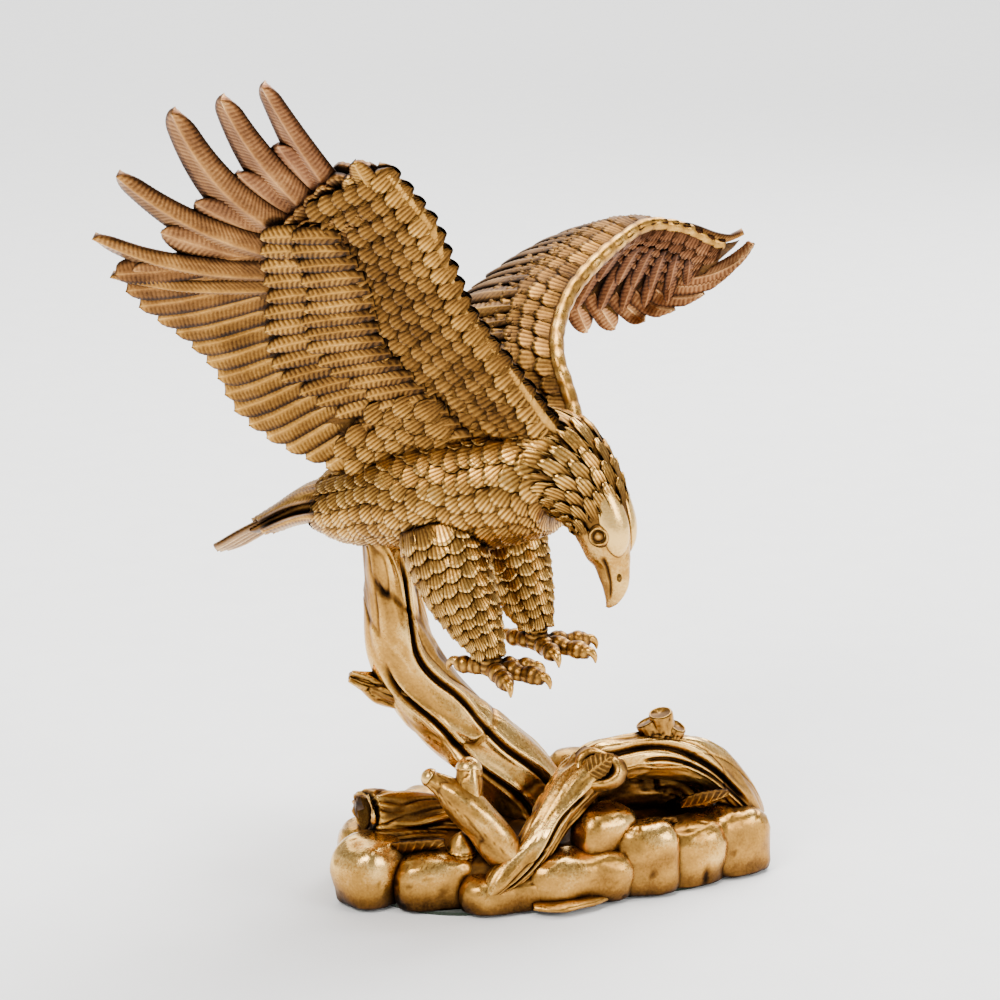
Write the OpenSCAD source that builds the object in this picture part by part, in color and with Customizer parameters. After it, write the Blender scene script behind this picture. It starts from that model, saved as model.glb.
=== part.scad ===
// Bronze eagle statuette: an eagle with raised wings over a driftwood trunk on
// a ring of rocks. Each casting, pin, rod and screw is a module of its own.
// +Z is up, the display side faces -Y, and the origin is the centre of the
// base's resting face.

/* [Base] */
// Length of the oval rock ring
base_length = 186; // [180:1:200]
// Width of the oval rock ring
base_width = 106; // [100:1:110]
// How far the oval's long axis is turned from X
base_turn = 17; // [12:1:22]
// Height of the rock ring over the felt
rock_height = 26; // [25:0.5:28]
// Number of rocks round the ring
rock_count = 17; // [13:1:21]
// How far each rock bulges from the ring
rock_bulge = 5; // [2:0.5:6]
// Thickness of the felt pad
felt_thickness = 1.5; // [1:0.1:2]
// Thickness of the plate that closes the hollow base
plate_thickness = 2; // [1.5:0.1:3]

/* [Eagle] */
// How far the eagle's heading is turned from +X towards the display side
heading = 30; // [28:1:32]
// Distance of each wing seat from the axis of the torso
wing_seat = 17; // [16:0.5:19]
// Distance of the belly seat, where legs and trunk meet the torso, from its axis
belly_seat = 20; // [18:0.5:21]
// Thickness of a wing at its arm
wing_arm = 9; // [7:0.5:10]

/* [Fixings] */
// Diameter of the threaded rod that holds the trunk to the base
rod_diameter = 8; // [6:0.5:8]
// Diameter of the pins that hold the larger castings
pin_diameter = 5; // [4:0.5:6]
// Diameter of the pins that hold legs, feet and small castings
small_pin = 3; // [2:0.5:3]
// Diameter of the wood screws under the base
screw_diameter = 4; // [3:0.5:4]
// Radial play of a pin in its bore
bore_play = 0.1; // [0.05:0.05:0.2]

/* [Hidden] */

gold = "#b8863b";
dark_gold = "#8f6428";
steel = "#8f9296";
felt_green = "#2c3a2e";
up = [0, 0, 1];
ahead = [cos(heading), -sin(heading), 0];
left = [sin(heading), cos(heading), 0];
torso_centre = [-40, -12, 170];
torso_tilt = 16;

plate_top = felt_thickness + plate_thickness;
pocket_length = base_length - 44;
pocket_width = base_width - 36;
pocket_top = 19;
boss_diameter = 12;
boss_reach = [pocket_length / 2 - 24, pocket_width / 2 - 10];
screw_length = 13;
ring_sides = 68;
rock_top = rock_height + felt_thickness;

// Trunk, from the rocks up to the torso: place, half width, half depth
trunk_line = [
    [-4, 6, 14, 22, 20], [-13, 5, 34, 17, 16], [-27, 5, 50, 15, 14],
    [-41, 5, 63, 15, 14], [-53, 5, 77, 15, 14], [-62, 4, 95, 14, 13],
    [-66, 3, 116, 12, 12], [-67, 2, 133, 12, 12], [-68, 2, 158, 11, 11]];
// Broken stub on the trunk's left side
stub_line = [
    [-50, 5, 72, 10, 9], [-62, 2, 76, 9, 7], [-73, -1, 80, 6, 5],
    [-84, -4, 85, 1.5, 1.5]];
// Log lying on the rocks
log_line = [
    [-81, -23, 32, 9, 9], [-74, -22, 32, 10, 10], [-54, -20, 29, 10, 10],
    [-26, -16, 25, 9, 9]];
// Root that arches over the right half of the base
root_line = [
    [-27, -53, 8, 6, 4], [-21, -49, 13, 9, 7], [-9, -42, 23, 8, 8],
    [3, -32, 38, 9, 9], [16, -22, 49, 11, 10], [30, -14, 53, 11, 10],
    [47, -6, 51, 11, 10], [65, 2, 43, 11, 10], [77, 6, 30, 10, 9],
    [84, 8, 17, 9, 8]];
// Wall of old wood behind the hollow under the arch
root_wall = [
    [14, -10, 40, 9, 14], [30, 2, 34, 7, 18], [48, 10, 31, 7, 17],
    [68, 14, 24, 7, 14]];
// Boulder standing behind the trunk
boulder_line = [
    [10, 25, 8, 20, 16], [10, 25, 24, 18, 15], [9, 24, 36, 14, 11],
    [8, 24, 42, 7, 5], [8, 24, 43, 1, 1]];
// Branch that forks in front of the log, and its two prongs
branch_line = [
    [-13, -44, 17, 5, 5], [-19, -45, 23, 8, 8], [-27, -46, 34, 8, 8],
    [-37, -45, 45, 7.5, 7.5], [-44, -43, 51, 5, 5], [-50, -42, 55, 3.5, 3.5]];
prong_line = [
    [-34, -44, 41, 6, 6], [-34, -42, 51, 6, 6], [-34, -40, 58, 5, 5]];
// Three broken twigs on top of the arch
sprout_lines = [
    [[42, -9, 55, 5, 5], [42, -10, 61, 5, 5], [39, -10, 67, 3.5, 3.5]],
    [[45, -8, 56, 5, 5], [46, -9, 65, 5, 5], [45, -10, 71, 4, 4]],
    [[47, -7, 56, 5, 5], [50, -8, 61, 4.5, 4.5], [52, -9, 65, 3, 3]]];

// Torso from the rump to the neck, in the eagle's own axes: distance ahead,
// height over the floor, half width, half height
torso_line = [
    [-66, 150, 9, 7], [-54, 154, 17, 14], [-38, 159, 22, 19],
    [-16, 166, 27, 24], [6, 171, 28, 26], [26, 176, 27, 25],
    [42, 181, 23, 23], [52, 181, 19, 20], [60, 177, 17, 17]];
neck_line = [
    [46, 183, 21, 21.5], [54, 180, 17.5, 18], [61, 174, 14, 15],
    [66, 167, 12, 12.5], [69, 159, 11, 11.5], [70.5, 152, 9, 9.5],
    [72, 146, 6, 7.5], [73, 139, 4.5, 6], [72, 133, 2.5, 3.5],
    [70, 129, 0.8, 0.8]];
tail_line = [
    [-56, 157, 14, 9], [-66, 154, 15, 7], [-80, 147, 17, 4],
    [-94, 139, 17, 3], [-105, 132, 13, 2.2], [-112, 129, 5, 1]];
// Thigh down to the ankle: distance ahead, sideways from the middle, height,
// half width, half depth
leg_line = [
    [2, 17, 158, 12, 17], [7, 18, 146, 12.5, 16.5], [14, 19, 132, 11.5, 14],
    [21, 19, 120, 9, 10.5], [26, 19, 111, 6, 6.5], [28, 19, 103, 4, 4.5]];
// How much further ahead the left thigh starts than the right one
left_lead = 8;
foot_height = 104;
// Toes: how far ahead, how far sideways and how far down each one ends
toe_ends = [[25, 0, -1], [17, 15, -1], [15, -11, -1], [-15, 2, 0]];

// Wings: front edge, rear edge, thickness as a share of wing_arm, camber.
// The right wing is given in its own plane: along the arm, then rearward.
right_root = [-3, -50, 210];
right_span = [-0.460, -0.343, 0.819];
right_back = [-0.859, 0.408, -0.311];
right_blade = [
    [[-16, -2], [-22, 92], 2.2, 0], [[0, 2], [-8, 98], 1.5, 4],
    [[18, 5], [10, 110], 1, 6], [[36, 7], [30, 121], 0.85, 8],
    [[56, 8], [50, 122], 0.8, 8], [[78, 3], [72, 121], 0.75, 8],
    [[96, -2], [90, 120], 0.7, 5], [[112, 2], [102, 106], 0.3, 1],
    [[120, 8], [114, 70], 0.2, 0]];
// The hand is a plate that carries the six spread flight feathers, given by its
// outline in the wing's plane, tilted from hand_start on to follow the curl
hand_start = 90;
hand_tilt = 0.15;
hand_thickness = 3.6;
hand_outline = [
    [88, 4], [98, -1], [116, -1], [128, 1], [134, 8], [152, 8], [170, 11],
    [178, 13], [180, 18], [174, 23], [152, 31], [168, 29], [178, 32], [180, 38],
    [172, 43], [146, 52], [164, 50], [178, 52], [181, 58], [174, 64], [138, 78],
    [150, 86], [160, 95], [158, 101], [148, 101], [130, 99], [136, 118],
    [136, 128], [130, 128], [116, 119], [116, 130], [110, 135], [102, 132],
    [92, 126], [84, 118]];
right_curl = 12;
// The left wing arches over and is given in the statuette's axes.
left_blade = [
    [[9, -34, 192], [-66, 10, 152], 2.2, 0], [[8, -23, 202], [-66, 21, 162], 1.5, 4],
    [[2, -7, 221], [-72, 37, 176], 1, 8], [[3, 8, 232], [-72, 51, 182], 1, 10],
    [[8, 20, 242], [-68, 64, 190], 1, 12], [[16, 32, 250], [-59, 75, 195], 1, 12],
    [[27, 44, 258], [-48, 86, 203], 1, 11], [[41, 58, 264], [-28, 97, 213], 0.9, 9],
    [[57, 68, 261], [3, 100, 210], 0.8, 6], [[70, 75, 254], [27, 101, 211], 0.5, 4],
    [[77, 78, 253], [44, 95, 217], 0.4, 3], [[84, 81, 255], [64, 91, 227], 0.3, 2],
    [[88, 84, 258], [82, 87, 243], 0.25, 1], [[91, 86, 261], [90, 87, 258], 0.2, 0]];

function unit(v) = v / norm(v);
right_rear = across(unit(right_span), right_back);
right_palm = cross(unit(right_span), right_rear);
function flat(v) = [v[0], v[1], v[2]];

// A point in the eagle's own axes: ahead, sideways, height over the floor
function on_bird(f, l, z) =
    [torso_centre.x, torso_centre.y, 0] + ahead * f + left * l + up * z;

// A smooth curve through every station, with steps points between two stations
function curve_at(a, b, c, d, t) =
    (2 * b + (c - a) * t + (2 * a - 5 * b + 4 * c - d) * t * t
        + (3 * b - a - 3 * c + d) * t * t * t) / 2;
function smoothed(line, steps) = [
    for (i = [0:len(line) - 2])
        for (k = [0:steps - 1])
            curve_at(line[max(i - 1, 0)], line[i], line[i + 1],
                line[min(i + 2, len(line) - 1)], k / steps),
    line[len(line) - 1]];

// The oval round one station, square to the line, with its width along side
function heading_at(line, i) =
    unit(flat(line[min(i + 1, len(line) - 1)]) - flat(line[max(i - 1, 0)]));
function across(direction, side) = unit(side - direction * (side * direction));
function oval(line, i, side, sides) =
    let (direction = heading_at(line, i), u = across(direction, side),
        v = cross(direction, u))
    [for (k = [0:sides - 1])
        flat(line[i]) + u * line[i][3] * cos(360 * k / sides)
            + v * line[i][4] * sin(360 * k / sides)];

// A closed skin over rings that all have the same number of points
module skin(rings) {
    n = len(rings[0]);
    last = len(rings) - 1;
    sides = [
        for (i = [0:last - 1])
            for (k = [0:n - 1])
                let (a = i * n + k, b = i * n + (k + 1) % n)
                for (face = [[a, a + n, b + n], [a, b + n, b]])
                    face];
    ends = [[for (k = [0:n - 1]) k], [for (k = [n - 1:-1:0]) last * n + k]];
    polyhedron([for (ring = rings) for (point = ring) point], concat(ends, sides));
}

module limb(stations, side, sides = 16, steps = 2) {
    line = smoothed(stations, steps);
    skin([for (i = [0:len(line) - 1]) oval(line, i, side, sides)]);
}

// Everything on one side of a plane, in the direction given
module beyond(point, direction, reach = 500) {
    translate(point)
        rotate([0, acos(direction.z / norm(direction)), atan2(direction.y, direction.x)])
            translate([-reach / 2, -reach / 2, 0])
                cube(reach);
}

// A rod from one point to another
module rod(from, to, diameter) {
    way = to - from;
    translate(from)
        rotate([0, acos(way.z / norm(way)), atan2(way.y, way.x)])
            cylinder(h = norm(way), d = diameter, $fn = 32);
}

module bore(pin, diameter) {
    way = unit(pin[1] - pin[0]);
    rod(pin[0] - way, pin[1] + way, diameter + 2 * bore_play);
}

// ---- Where the pins run ----
body_pin_ends = [[-67, 2, 128], [-63, 0, 158]];
neck_pin_ends = [on_bird(40, 0, 182), on_bird(66, 0, 174)];
tail_pin_ends = [on_bird(-48, 0, 157), on_bird(-74, 0, 147)];
rod_ends = [[-9, 6, plate_top + 2], [-9, 6, 48]];
log_pin_ends = [[-56, -20, pocket_top + 2], [-56, -20, 33]];
root_pin_ends = [for (p = [[28, 1], [48, 9]])
    [[p.x, p.y, pocket_top + 2], [p.x, p.y, 39]]];
function leg_place(side, station) =
    let (lead = side > 0 ? left_lead * (station[2] - foot_height) / 54 : 0)
    on_bird(station[0] + lead, side * station[1], station[2]);
function leg_stations(side) = [
    for (s = leg_line) concat(leg_place(side, s), [s[3], s[4]])];
function leg_pin_ends(side) =
    [leg_place(side, [0, 15, 164]), leg_place(side, [10, 18.5, 141])];
function foot_pin_ends(side) =
    [leg_place(side, [27.5, 19, 114]), leg_place(side, [28, 19, foot_height - 3])];
torso_up = up * cos(torso_tilt) - ahead * sin(torso_tilt);
seat_normal = [for (side = [-1, 1]) unit(left * side * 0.8 + torso_up * 0.6)];
belly_point = torso_centre - torso_up * belly_seat;
function seat_point(side) = torso_centre + seat_normal[(side + 1) / 2] * wing_seat;
function wing_pin_ends(side) = let (n = seat_normal[(side + 1) / 2]) [
    for (f = [-12, 22])
        let (p = seat_point(side) + ahead * f * cos(torso_tilt) + up * f * sin(torso_tilt))
        [p - n * 9, p + n * 7]];
torso_cut = on_bird(50, 0, 0) + up * 184;
torso_cut_way = ahead * 0.94 - up * 0.34;
tail_cut = on_bird(-57, 0, 153);
tail_cut_way = -ahead * 0.9 - up * 0.44;

// ---- Base ----
// Outline of the ring of rocks at one height, drawn in by inset
function rock_outline(z, inset) = [
    for (k = [0:ring_sides - 1])
        let (a = 360 * k / ring_sides,
            bulge = rock_bulge * (abs(sin(a * rock_count / 2)) - 1))
        [(base_length / 2 - inset + bulge) * cos(a),
            (base_width / 2 - inset + bulge) * sin(a), z]];

// A stadium outline in plan, rounded right round both ends
module stadium(length, width, height) {
    for (side = [-1, 1])
        translate([side * (length - width) / 2, 0, 0])
            cylinder(h = height, d = width, $fn = 96);
    translate([-(length - width) / 2, -width / 2, 0])
        cube([length - width, width, height]);
}

module in_base_frame() {
    rotate([0, 0, base_turn])
        children();
}

module boss_places() {
    for (x = [-1, 1])
        for (y = [-1, 1])
            translate([x * boss_reach.x, y * boss_reach.y, 0])
                children();
}

// The ring's rounded wall, then cut level at its top and its foot
module rock_form() {
    levels = [[felt_thickness - 2, 4], [felt_thickness + 4, 0.5], [rock_top * 0.4, 0],
        [rock_top * 0.62, 2], [rock_top * 0.8, 7], [rock_top * 0.93, 15], [rock_top + 2, 30]];
    in_base_frame()
        difference() {
            skin([for (level = levels) rock_outline(level[0], level[1])]);
            beyond([0, 0, rock_top], up);
            beyond([0, 0, felt_thickness], -up);
        }
}

module boulder_form() {
    limb(boulder_line, [1, 0, 0], sides = 14);
}

module rock_base() color(gold) {
    difference() {
        union() {
            rock_form();
            boulder_form();
        }
        in_base_frame()
            difference() {
                translate([0, 0, -1])
                    stadium(pocket_length, pocket_width, pocket_top + 1);
                boss_places()
                    translate([0, 0, plate_top])
                        cylinder(h = pocket_top, d = boss_diameter, $fn = 48);
            }
        in_base_frame()
            boss_places()
                translate([0, 0, plate_top - 1])
                    cylinder(h = screw_length, d = screw_diameter + 2 * bore_play, $fn = 32);
        bore(rod_ends, rod_diameter);
        bore(log_pin_ends, small_pin);
        for (ends = root_pin_ends)
            bore(ends, small_pin);
    }
}

module base_plate() color(steel) {
    in_base_frame()
        difference() {
            translate([0, 0, felt_thickness])
                stadium(pocket_length - 0.4, pocket_width - 0.4, plate_thickness);
            boss_places() {
                cylinder(h = plate_top + 1, d = screw_diameter + 2 * bore_play, $fn = 32);
                translate([0, 0, felt_thickness - 0.01])
                    cylinder(h = plate_thickness * 0.8, d1 = 2 * screw_diameter + 0.2,
                        d2 = screw_diameter, $fn = 48);
            }
        }
}

module plate_screws() color("#c9ccd0") {
    in_base_frame()
        boss_places()
            translate([0, 0, felt_thickness]) {
                cylinder(h = plate_thickness * 0.8, d1 = 2 * screw_diameter,
                    d2 = screw_diameter - 0.2, $fn = 48);
                cylinder(h = screw_length - 3, d = screw_diameter, $fn = 32);
            }
}

module felt_pad() color(felt_green) {
    in_base_frame()
        stadium(base_length - 20, base_width - 20, felt_thickness);
}

// ---- Driftwood ----
module trunk_form() {
    limb(trunk_line, [1, 0, 0], sides = 18);
    limb(stub_line, [0, 1, 0], sides = 12);
}

module trunk() color(gold) {
    difference() {
        trunk_form();
        beyond([0, 0, rock_top], -up);
        beyond(belly_point, torso_up);
        boulder_form();
        bore(rod_ends, rod_diameter);
        bore(body_pin_ends, pin_diameter);
    }
}

module trunk_rod() color(steel) {
    rod(rod_ends[0], rod_ends[1], rod_diameter);
}

module rod_washer() color("#a9acb0") {
    translate([rod_ends[0].x, rod_ends[0].y, pocket_top - 2])
        difference() {
            cylinder(h = 2, d = 2.5 * rod_diameter, $fn = 64);
            translate([0, 0, -1])
                cylinder(h = 4, d = rod_diameter + 2 * bore_play, $fn = 48);
        }
}

module rod_nut() color("#b9bcc0") {
    nut_height = 0.8 * rod_diameter;
    translate([rod_ends[0].x, rod_ends[0].y, pocket_top - 2 - nut_height])
        difference() {
            cylinder(h = nut_height, d = 1.85 * rod_diameter, $fn = 6);
            translate([0, 0, -1])
                cylinder(h = nut_height + 2, d = rod_diameter + 2 * bore_play, $fn = 48);
        }
}

module body_pin() color(dark_gold) {
    rod(body_pin_ends[0], body_pin_ends[1], pin_diameter);
}

module fallen_log() color(gold) {
    difference() {
        limb(log_line, [0, 1, 0], sides = 16);
        rock_form();
        trunk_form();
        bore(log_pin_ends, small_pin);
    }
}

module log_pin() color(dark_gold) {
    rod(log_pin_ends[0], log_pin_ends[1], small_pin);
}

module root_form() {
    limb(root_line, [0, 1, 0], sides = 16);
    limb(root_wall, [-0.3, 1, 0], sides = 12);
}

module arched_root() color(gold) {
    difference() {
        root_form();
        rock_form();
        boulder_form();
        trunk_form();
        for (ends = root_pin_ends)
            bore(ends, small_pin);
    }
}

module root_pins() color(dark_gold) {
    for (ends = root_pin_ends)
        rod(ends[0], ends[1], small_pin);
}

module forked_branch() color(gold) {
    difference() {
        union() {
            limb(branch_line, [0, 1, 0], sides = 14);
            limb(prong_line, [0, 1, 0], sides = 14);
        }
        rock_form();
        root_form();
    }
}

module root_sprout() color(gold) {
    difference() {
        for (line = sprout_lines)
            limb(line, [0, 1, 0], sides = 10);
        root_form();
    }
}

// A leaf from its stalk to its tip, with its face turned by side
module leaf(from, to, side, half_width, thickness = 1.6) {
    shape = [[0, 0.15], [0.2, 0.8], [0.45, 1], [0.75, 0.7], [1, 0.1]];
    limb([for (s = shape) concat(from + (to - from) * s[0],
        [half_width * s[1], thickness / 2])], side, sides = 10, steps = 2);
}

module knot_leaf() color(gold) {
    difference() {
        leaf([13, -32, 52], [25, -27, 60], [-0.4, 0.3, 0.8], 5, 5);
        root_form();
    }
}

module upper_leaf() color(gold) {
    difference() {
        leaf([54, -10, 31], [74, -8, 36], [0, -0.6, 0.8], 6, 3);
        root_form();
        rock_form();
    }
}

module lower_leaf() color(gold) {
    difference() {
        leaf([30, -24, 25], [52, -18, 28], [0, -0.7, 0.7], 6, 3);
        root_form();
        rock_form();
    }
}

module rock_leaf() color(gold) {
    difference() {
        leaf([-68, -38, 22], [-44, -42, 27], [0, -0.7, 0.7], 7, 4);
        rock_form();
        limb(log_line, [0, 1, 0], sides = 16);
        limb(branch_line, [0, 1, 0], sides = 14);
    }
}

module acorn() color(gold) {
    difference() {
        limb([[-37, -40, 18, 5, 5], [-37, -41, 25, 5.5, 5.5], [-37, -42, 29, 3.5, 3.5],
            [-37, -42, 31, 0.5, 0.5]], [1, 0, 0], sides = 14);
        rock_form();
        limb(branch_line, [0, 1, 0], sides = 14);
        leaf([-68, -38, 22], [-44, -42, 27], [0, -0.7, 0.7], 7, 4);
    }
}

// ---- Eagle ----
function bird_line(line) = [for (s = line) concat(on_bird(s[0], 0, s[1]), [s[2], s[3]])];

module torso_form() {
    intersection() {
        limb(bird_line(torso_line), left, sides = 22);
        beyond(torso_cut, -torso_cut_way);
        beyond(tail_cut, -tail_cut_way);
        beyond(belly_point, torso_up);
        for_both_seats();
    }
}

module for_both_seats() {
    intersection() {
        beyond(seat_point(-1), -seat_normal[0]);
        beyond(seat_point(1), -seat_normal[1]);
    }
}

module torso() color(gold) {
    difference() {
        torso_form();
        bore(body_pin_ends, pin_diameter);
        bore(neck_pin_ends, pin_diameter);
        bore(tail_pin_ends, pin_diameter);
        for (side = [-1, 1]) {
            bore(leg_pin_ends(side), pin_diameter);
            for (ends = wing_pin_ends(side))
                bore(ends, pin_diameter);
        }
    }
}

module head() color(gold) {
    difference() {
        limb(bird_line(neck_line), left, sides = 20);
        beyond(torso_cut, -torso_cut_way);
        bore(neck_pin_ends, pin_diameter);
    }
}

module neck_pin() color(dark_gold) {
    rod(neck_pin_ends[0], neck_pin_ends[1], pin_diameter);
}

module tail() color(gold) {
    difference() {
        limb(bird_line(tail_line), left, sides = 16);
        beyond(tail_cut, -tail_cut_way);
        bore(tail_pin_ends, pin_diameter);
    }
}

module tail_pin() color(dark_gold) {
    rod(tail_pin_ends[0], tail_pin_ends[1], pin_diameter);
}

// One section of a wing: over the back from front edge to rear edge, then home
function wing_section(front, rear, back, thick, camber) =
    let (steps = 6, edge = 0.8)
    [for (k = [0:2 * steps + 1])
        let (over = k <= steps, j = over ? k : 2 * steps + 1 - k,
            t = (1 - cos(180 * j / steps)) / 2,
            half = edge + (thick / 2 - edge) * 2.6 * sqrt(t) * (1 - t))
        front + (rear - front) * t + back * (camber * sin(180 * t) + (over ? half : -half))];

function middle(s) = (s[0] + s[1]) / 2;
function back_of(blade, i, side) =
    let (span = middle(blade[min(i + 1, len(blade) - 1)]) - middle(blade[max(i - 1, 0)]))
    unit(cross(span, blade[i][1] - blade[i][0])) * side;
function turned(ring) = [for (k = [len(ring) - 1:-1:0]) ring[k]];

module wing_blade(blade, side) {
    rings = [for (i = [0:len(blade) - 1])
        wing_section(blade[i][0], blade[i][1], back_of(blade, i, side),
            max(wing_arm * blade[i][2], 1.6), blade[i][3])];
    skin(side > 0 ? [for (ring = rings) turned(ring)] : rings);
}

// A point in the right wing's own plane, curled towards the palm side
function on_right(p) = right_root + right_span * p[0] + right_rear * p[1]
    + right_palm * right_curl * pow(p[0] / 150, 2);

module right_hand() {
    span = unit(unit(right_span) + right_palm * hand_tilt);
    palm = cross(span, right_rear);
    start = on_right([hand_start, 0]) - right_palm * hand_thickness / 2;
    multmatrix([for (k = [0:2]) [span[k], right_rear[k], palm[k], start[k]]])
        linear_extrude(hand_thickness)
            polygon([for (p = hand_outline) [p.x - hand_start, p.y]]);
}

module right_wing() color(gold) {
    difference() {
        union() {
            wing_blade([for (s = right_blade) [on_right(s[0]), on_right(s[1]), s[2], s[3]]], -1);
            right_hand();
        }
        beyond(seat_point(-1), -seat_normal[0]);
        for (ends = wing_pin_ends(-1))
            bore(ends, pin_diameter);
    }
}

module left_wing() color(gold) {
    difference() {
        wing_blade(left_blade, 1);
        beyond(seat_point(1), -seat_normal[1]);
        for (ends = wing_pin_ends(1))
            bore(ends, pin_diameter);
    }
}

module wing_pins() color(dark_gold) {
    for (side = [-1, 1])
        for (ends = wing_pin_ends(side))
            rod(ends[0], ends[1], pin_diameter);
}

module leg(side) {
    difference() {
        limb(leg_stations(side), left, sides = 14);
        beyond(belly_point, torso_up);
        beyond([0, 0, foot_height + 1], -up);
        bore(leg_pin_ends(side), pin_diameter);
        bore(foot_pin_ends(side), small_pin);
    }
}

module left_leg() color(gold) leg(1);

module right_leg() color(gold) leg(-1);

module leg_pins() color(dark_gold) {
    for (side = [-1, 1])
        rod(leg_pin_ends(side)[0], leg_pin_ends(side)[1], pin_diameter);
}

// Four toes from the ankle, each ending in a claw
module foot(side) {
    ankle = leg_place(side, [28, 19, foot_height]);
    difference() {
        union() {
            translate(ankle - up * 4)
                cylinder(h = 5, r = 4.2, $fn = 32);
            for (end = toe_ends) {
                way = ahead * end[0] + left * side * end[1];
                limb([concat(ankle + way * 0.05 - up * 2, [2, 2]),
                    concat(ankle + way * 0.4 - up * 1.8, [2.9, 2.9]),
                    concat(ankle + way * 0.78 - up * 2, [2.8, 2.8]),
                    concat(ankle + way + up * (end[2] - 2), [0.6, 0.6])], up, sides = 10);
            }
        }
        bore(foot_pin_ends(side), small_pin);
    }
}

module left_foot() color(gold) foot(1);

module right_foot() color(gold) foot(-1);

module foot_pins() color(dark_gold) {
    for (side = [-1, 1])
        rod(foot_pin_ends(side)[0], foot_pin_ends(side)[1], small_pin);
}

felt_pad();
base_plate();
plate_screws();
rock_base();
trunk();
trunk_rod();
rod_washer();
rod_nut();
body_pin();
fallen_log();
log_pin();
arched_root();
root_pins();
forked_branch();
root_sprout();
knot_leaf();
upper_leaf();
lower_leaf();
rock_leaf();
acorn();
torso();
head();
neck_pin();
left_wing();
right_wing();
wing_pins();
tail();
tail_pin();
left_leg();
right_leg();
leg_pins();
left_foot();
right_foot();
foot_pins();
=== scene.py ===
# Looks of the bronze eagle statuette: every casting is built here as a detailed
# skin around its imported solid, and the pins, plate, screws and felt keep theirs.
# Sizes are in millimetres until a piece is finished.

import math
import bpy
import numpy as np
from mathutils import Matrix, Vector


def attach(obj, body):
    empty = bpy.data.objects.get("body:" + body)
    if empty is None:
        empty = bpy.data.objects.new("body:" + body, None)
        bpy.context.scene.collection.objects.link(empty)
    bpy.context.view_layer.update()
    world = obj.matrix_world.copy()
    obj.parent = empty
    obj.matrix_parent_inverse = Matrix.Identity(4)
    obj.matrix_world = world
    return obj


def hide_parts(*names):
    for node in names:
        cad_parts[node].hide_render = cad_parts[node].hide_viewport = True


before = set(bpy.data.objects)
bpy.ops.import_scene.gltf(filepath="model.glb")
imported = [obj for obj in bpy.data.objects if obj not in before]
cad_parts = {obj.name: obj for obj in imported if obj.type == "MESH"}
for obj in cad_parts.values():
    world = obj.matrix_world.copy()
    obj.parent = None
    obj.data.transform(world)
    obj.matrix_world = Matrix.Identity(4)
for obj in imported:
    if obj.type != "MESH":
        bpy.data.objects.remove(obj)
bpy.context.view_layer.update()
mm = 0.001
fullTurn = 2 * math.pi
quarterTurn = math.pi / 2

sideways, inward, up = (1, 0, 0), (0, 1, 0), np.array([0, 0, 1.0])
heading = math.radians(30)
ahead = np.array([math.cos(heading), -math.sin(heading), 0])
left = np.array([math.sin(heading), math.cos(heading), 0])
birdMiddle = np.array([-40, -12, 0.0])


# Small helpers

def clamp(x, low=0.0, high=1.0):
    return np.clip(x, low, high)


def near(x, middle, width):
    return np.exp(-((x - middle) / width) ** 2)


def blend(x, low, high):
    t = clamp((x - low) / (high - low))
    return t * t * (3 - 2 * t)


def window(x, rise, full, fade, end):
    # 0 up to rise, 1 from full to fade, and 0 again from end
    return blend(x, rise, full) * (1 - blend(x, fade, end))


def eased(count):
    # 0 to 1, closest together at both ends
    return (1 - np.cos(np.linspace(0, math.pi, count))) / 2


def unit(v):
    v = np.asarray(v, float)
    return v / np.linalg.norm(v, axis=-1, keepdims=True)


def within(origin, *steps):
    # places reached from an origin by steps, each a direction and an amount
    for way, amount in steps:
        origin = origin + way * np.asarray(amount)[..., None]
    return origin


def onBird(forward, side, height):
    # a place in the eagle's own axes
    return birdMiddle + ahead * forward + left * side + up * height


def turnFrom(turn, middle):
    return (turn - middle + math.pi) % fullTurn - math.pi


def rotated(x, y, angle):
    c, s = math.cos(angle), math.sin(angle)
    return x * c - y * s, x * s + y * c


def table(first, second):
    return np.meshgrid(first, second, indexing="ij")


def spokes(count):
    return np.linspace(0, fullTurn, count, endpoint=False)


def disc(rings, count):
    # radius (0 to 1) and turn of the points of a round patch
    return table(np.linspace(0.02, 1, rings), spokes(count))


def shell(top, under):
    # a ring of points from an upper and a lower sheet that meet at their edges
    return np.concatenate([top, under[:, -2:0:-1]], 1)


def halfway(base, tip, off=(0, 0)):
    return (np.asarray(base, float) + tip) / 2 + off


def runLength(points):
    # how far along a line each of its points lies
    return np.concatenate([[0], np.cumsum(np.linalg.norm(np.diff(points, axis=0), axis=1))])


def readTable(x, places, values):
    return np.stack([np.interp(x, places, column) for column in values.T], -1)


def smoothLine(stations, steps):
    # Catmull-Rom curve through all stations
    p = np.asarray(stations, float)
    p = np.vstack([p[0], p, p[-1]])
    out = []
    for i in range(1, len(p) - 2):
        a, b, c, d = p[i - 1:i + 3]
        t = np.linspace(0, 1, steps, endpoint=False)[:, None]
        out.append((2 * b + (c - a) * t + (2 * a - 5 * b + 4 * c - d) * t ** 2
                    + (3 * b - a - 3 * c + d) * t ** 3) / 2)
    return np.vstack(out + [p[-2:-1]])


def spread(line, count):
    # count evenly spaced places along a line of given points
    dense = smoothLine(line, 20)
    step = runLength(dense)
    return readTable(np.linspace(0, step[-1], count), step, dense)


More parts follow.
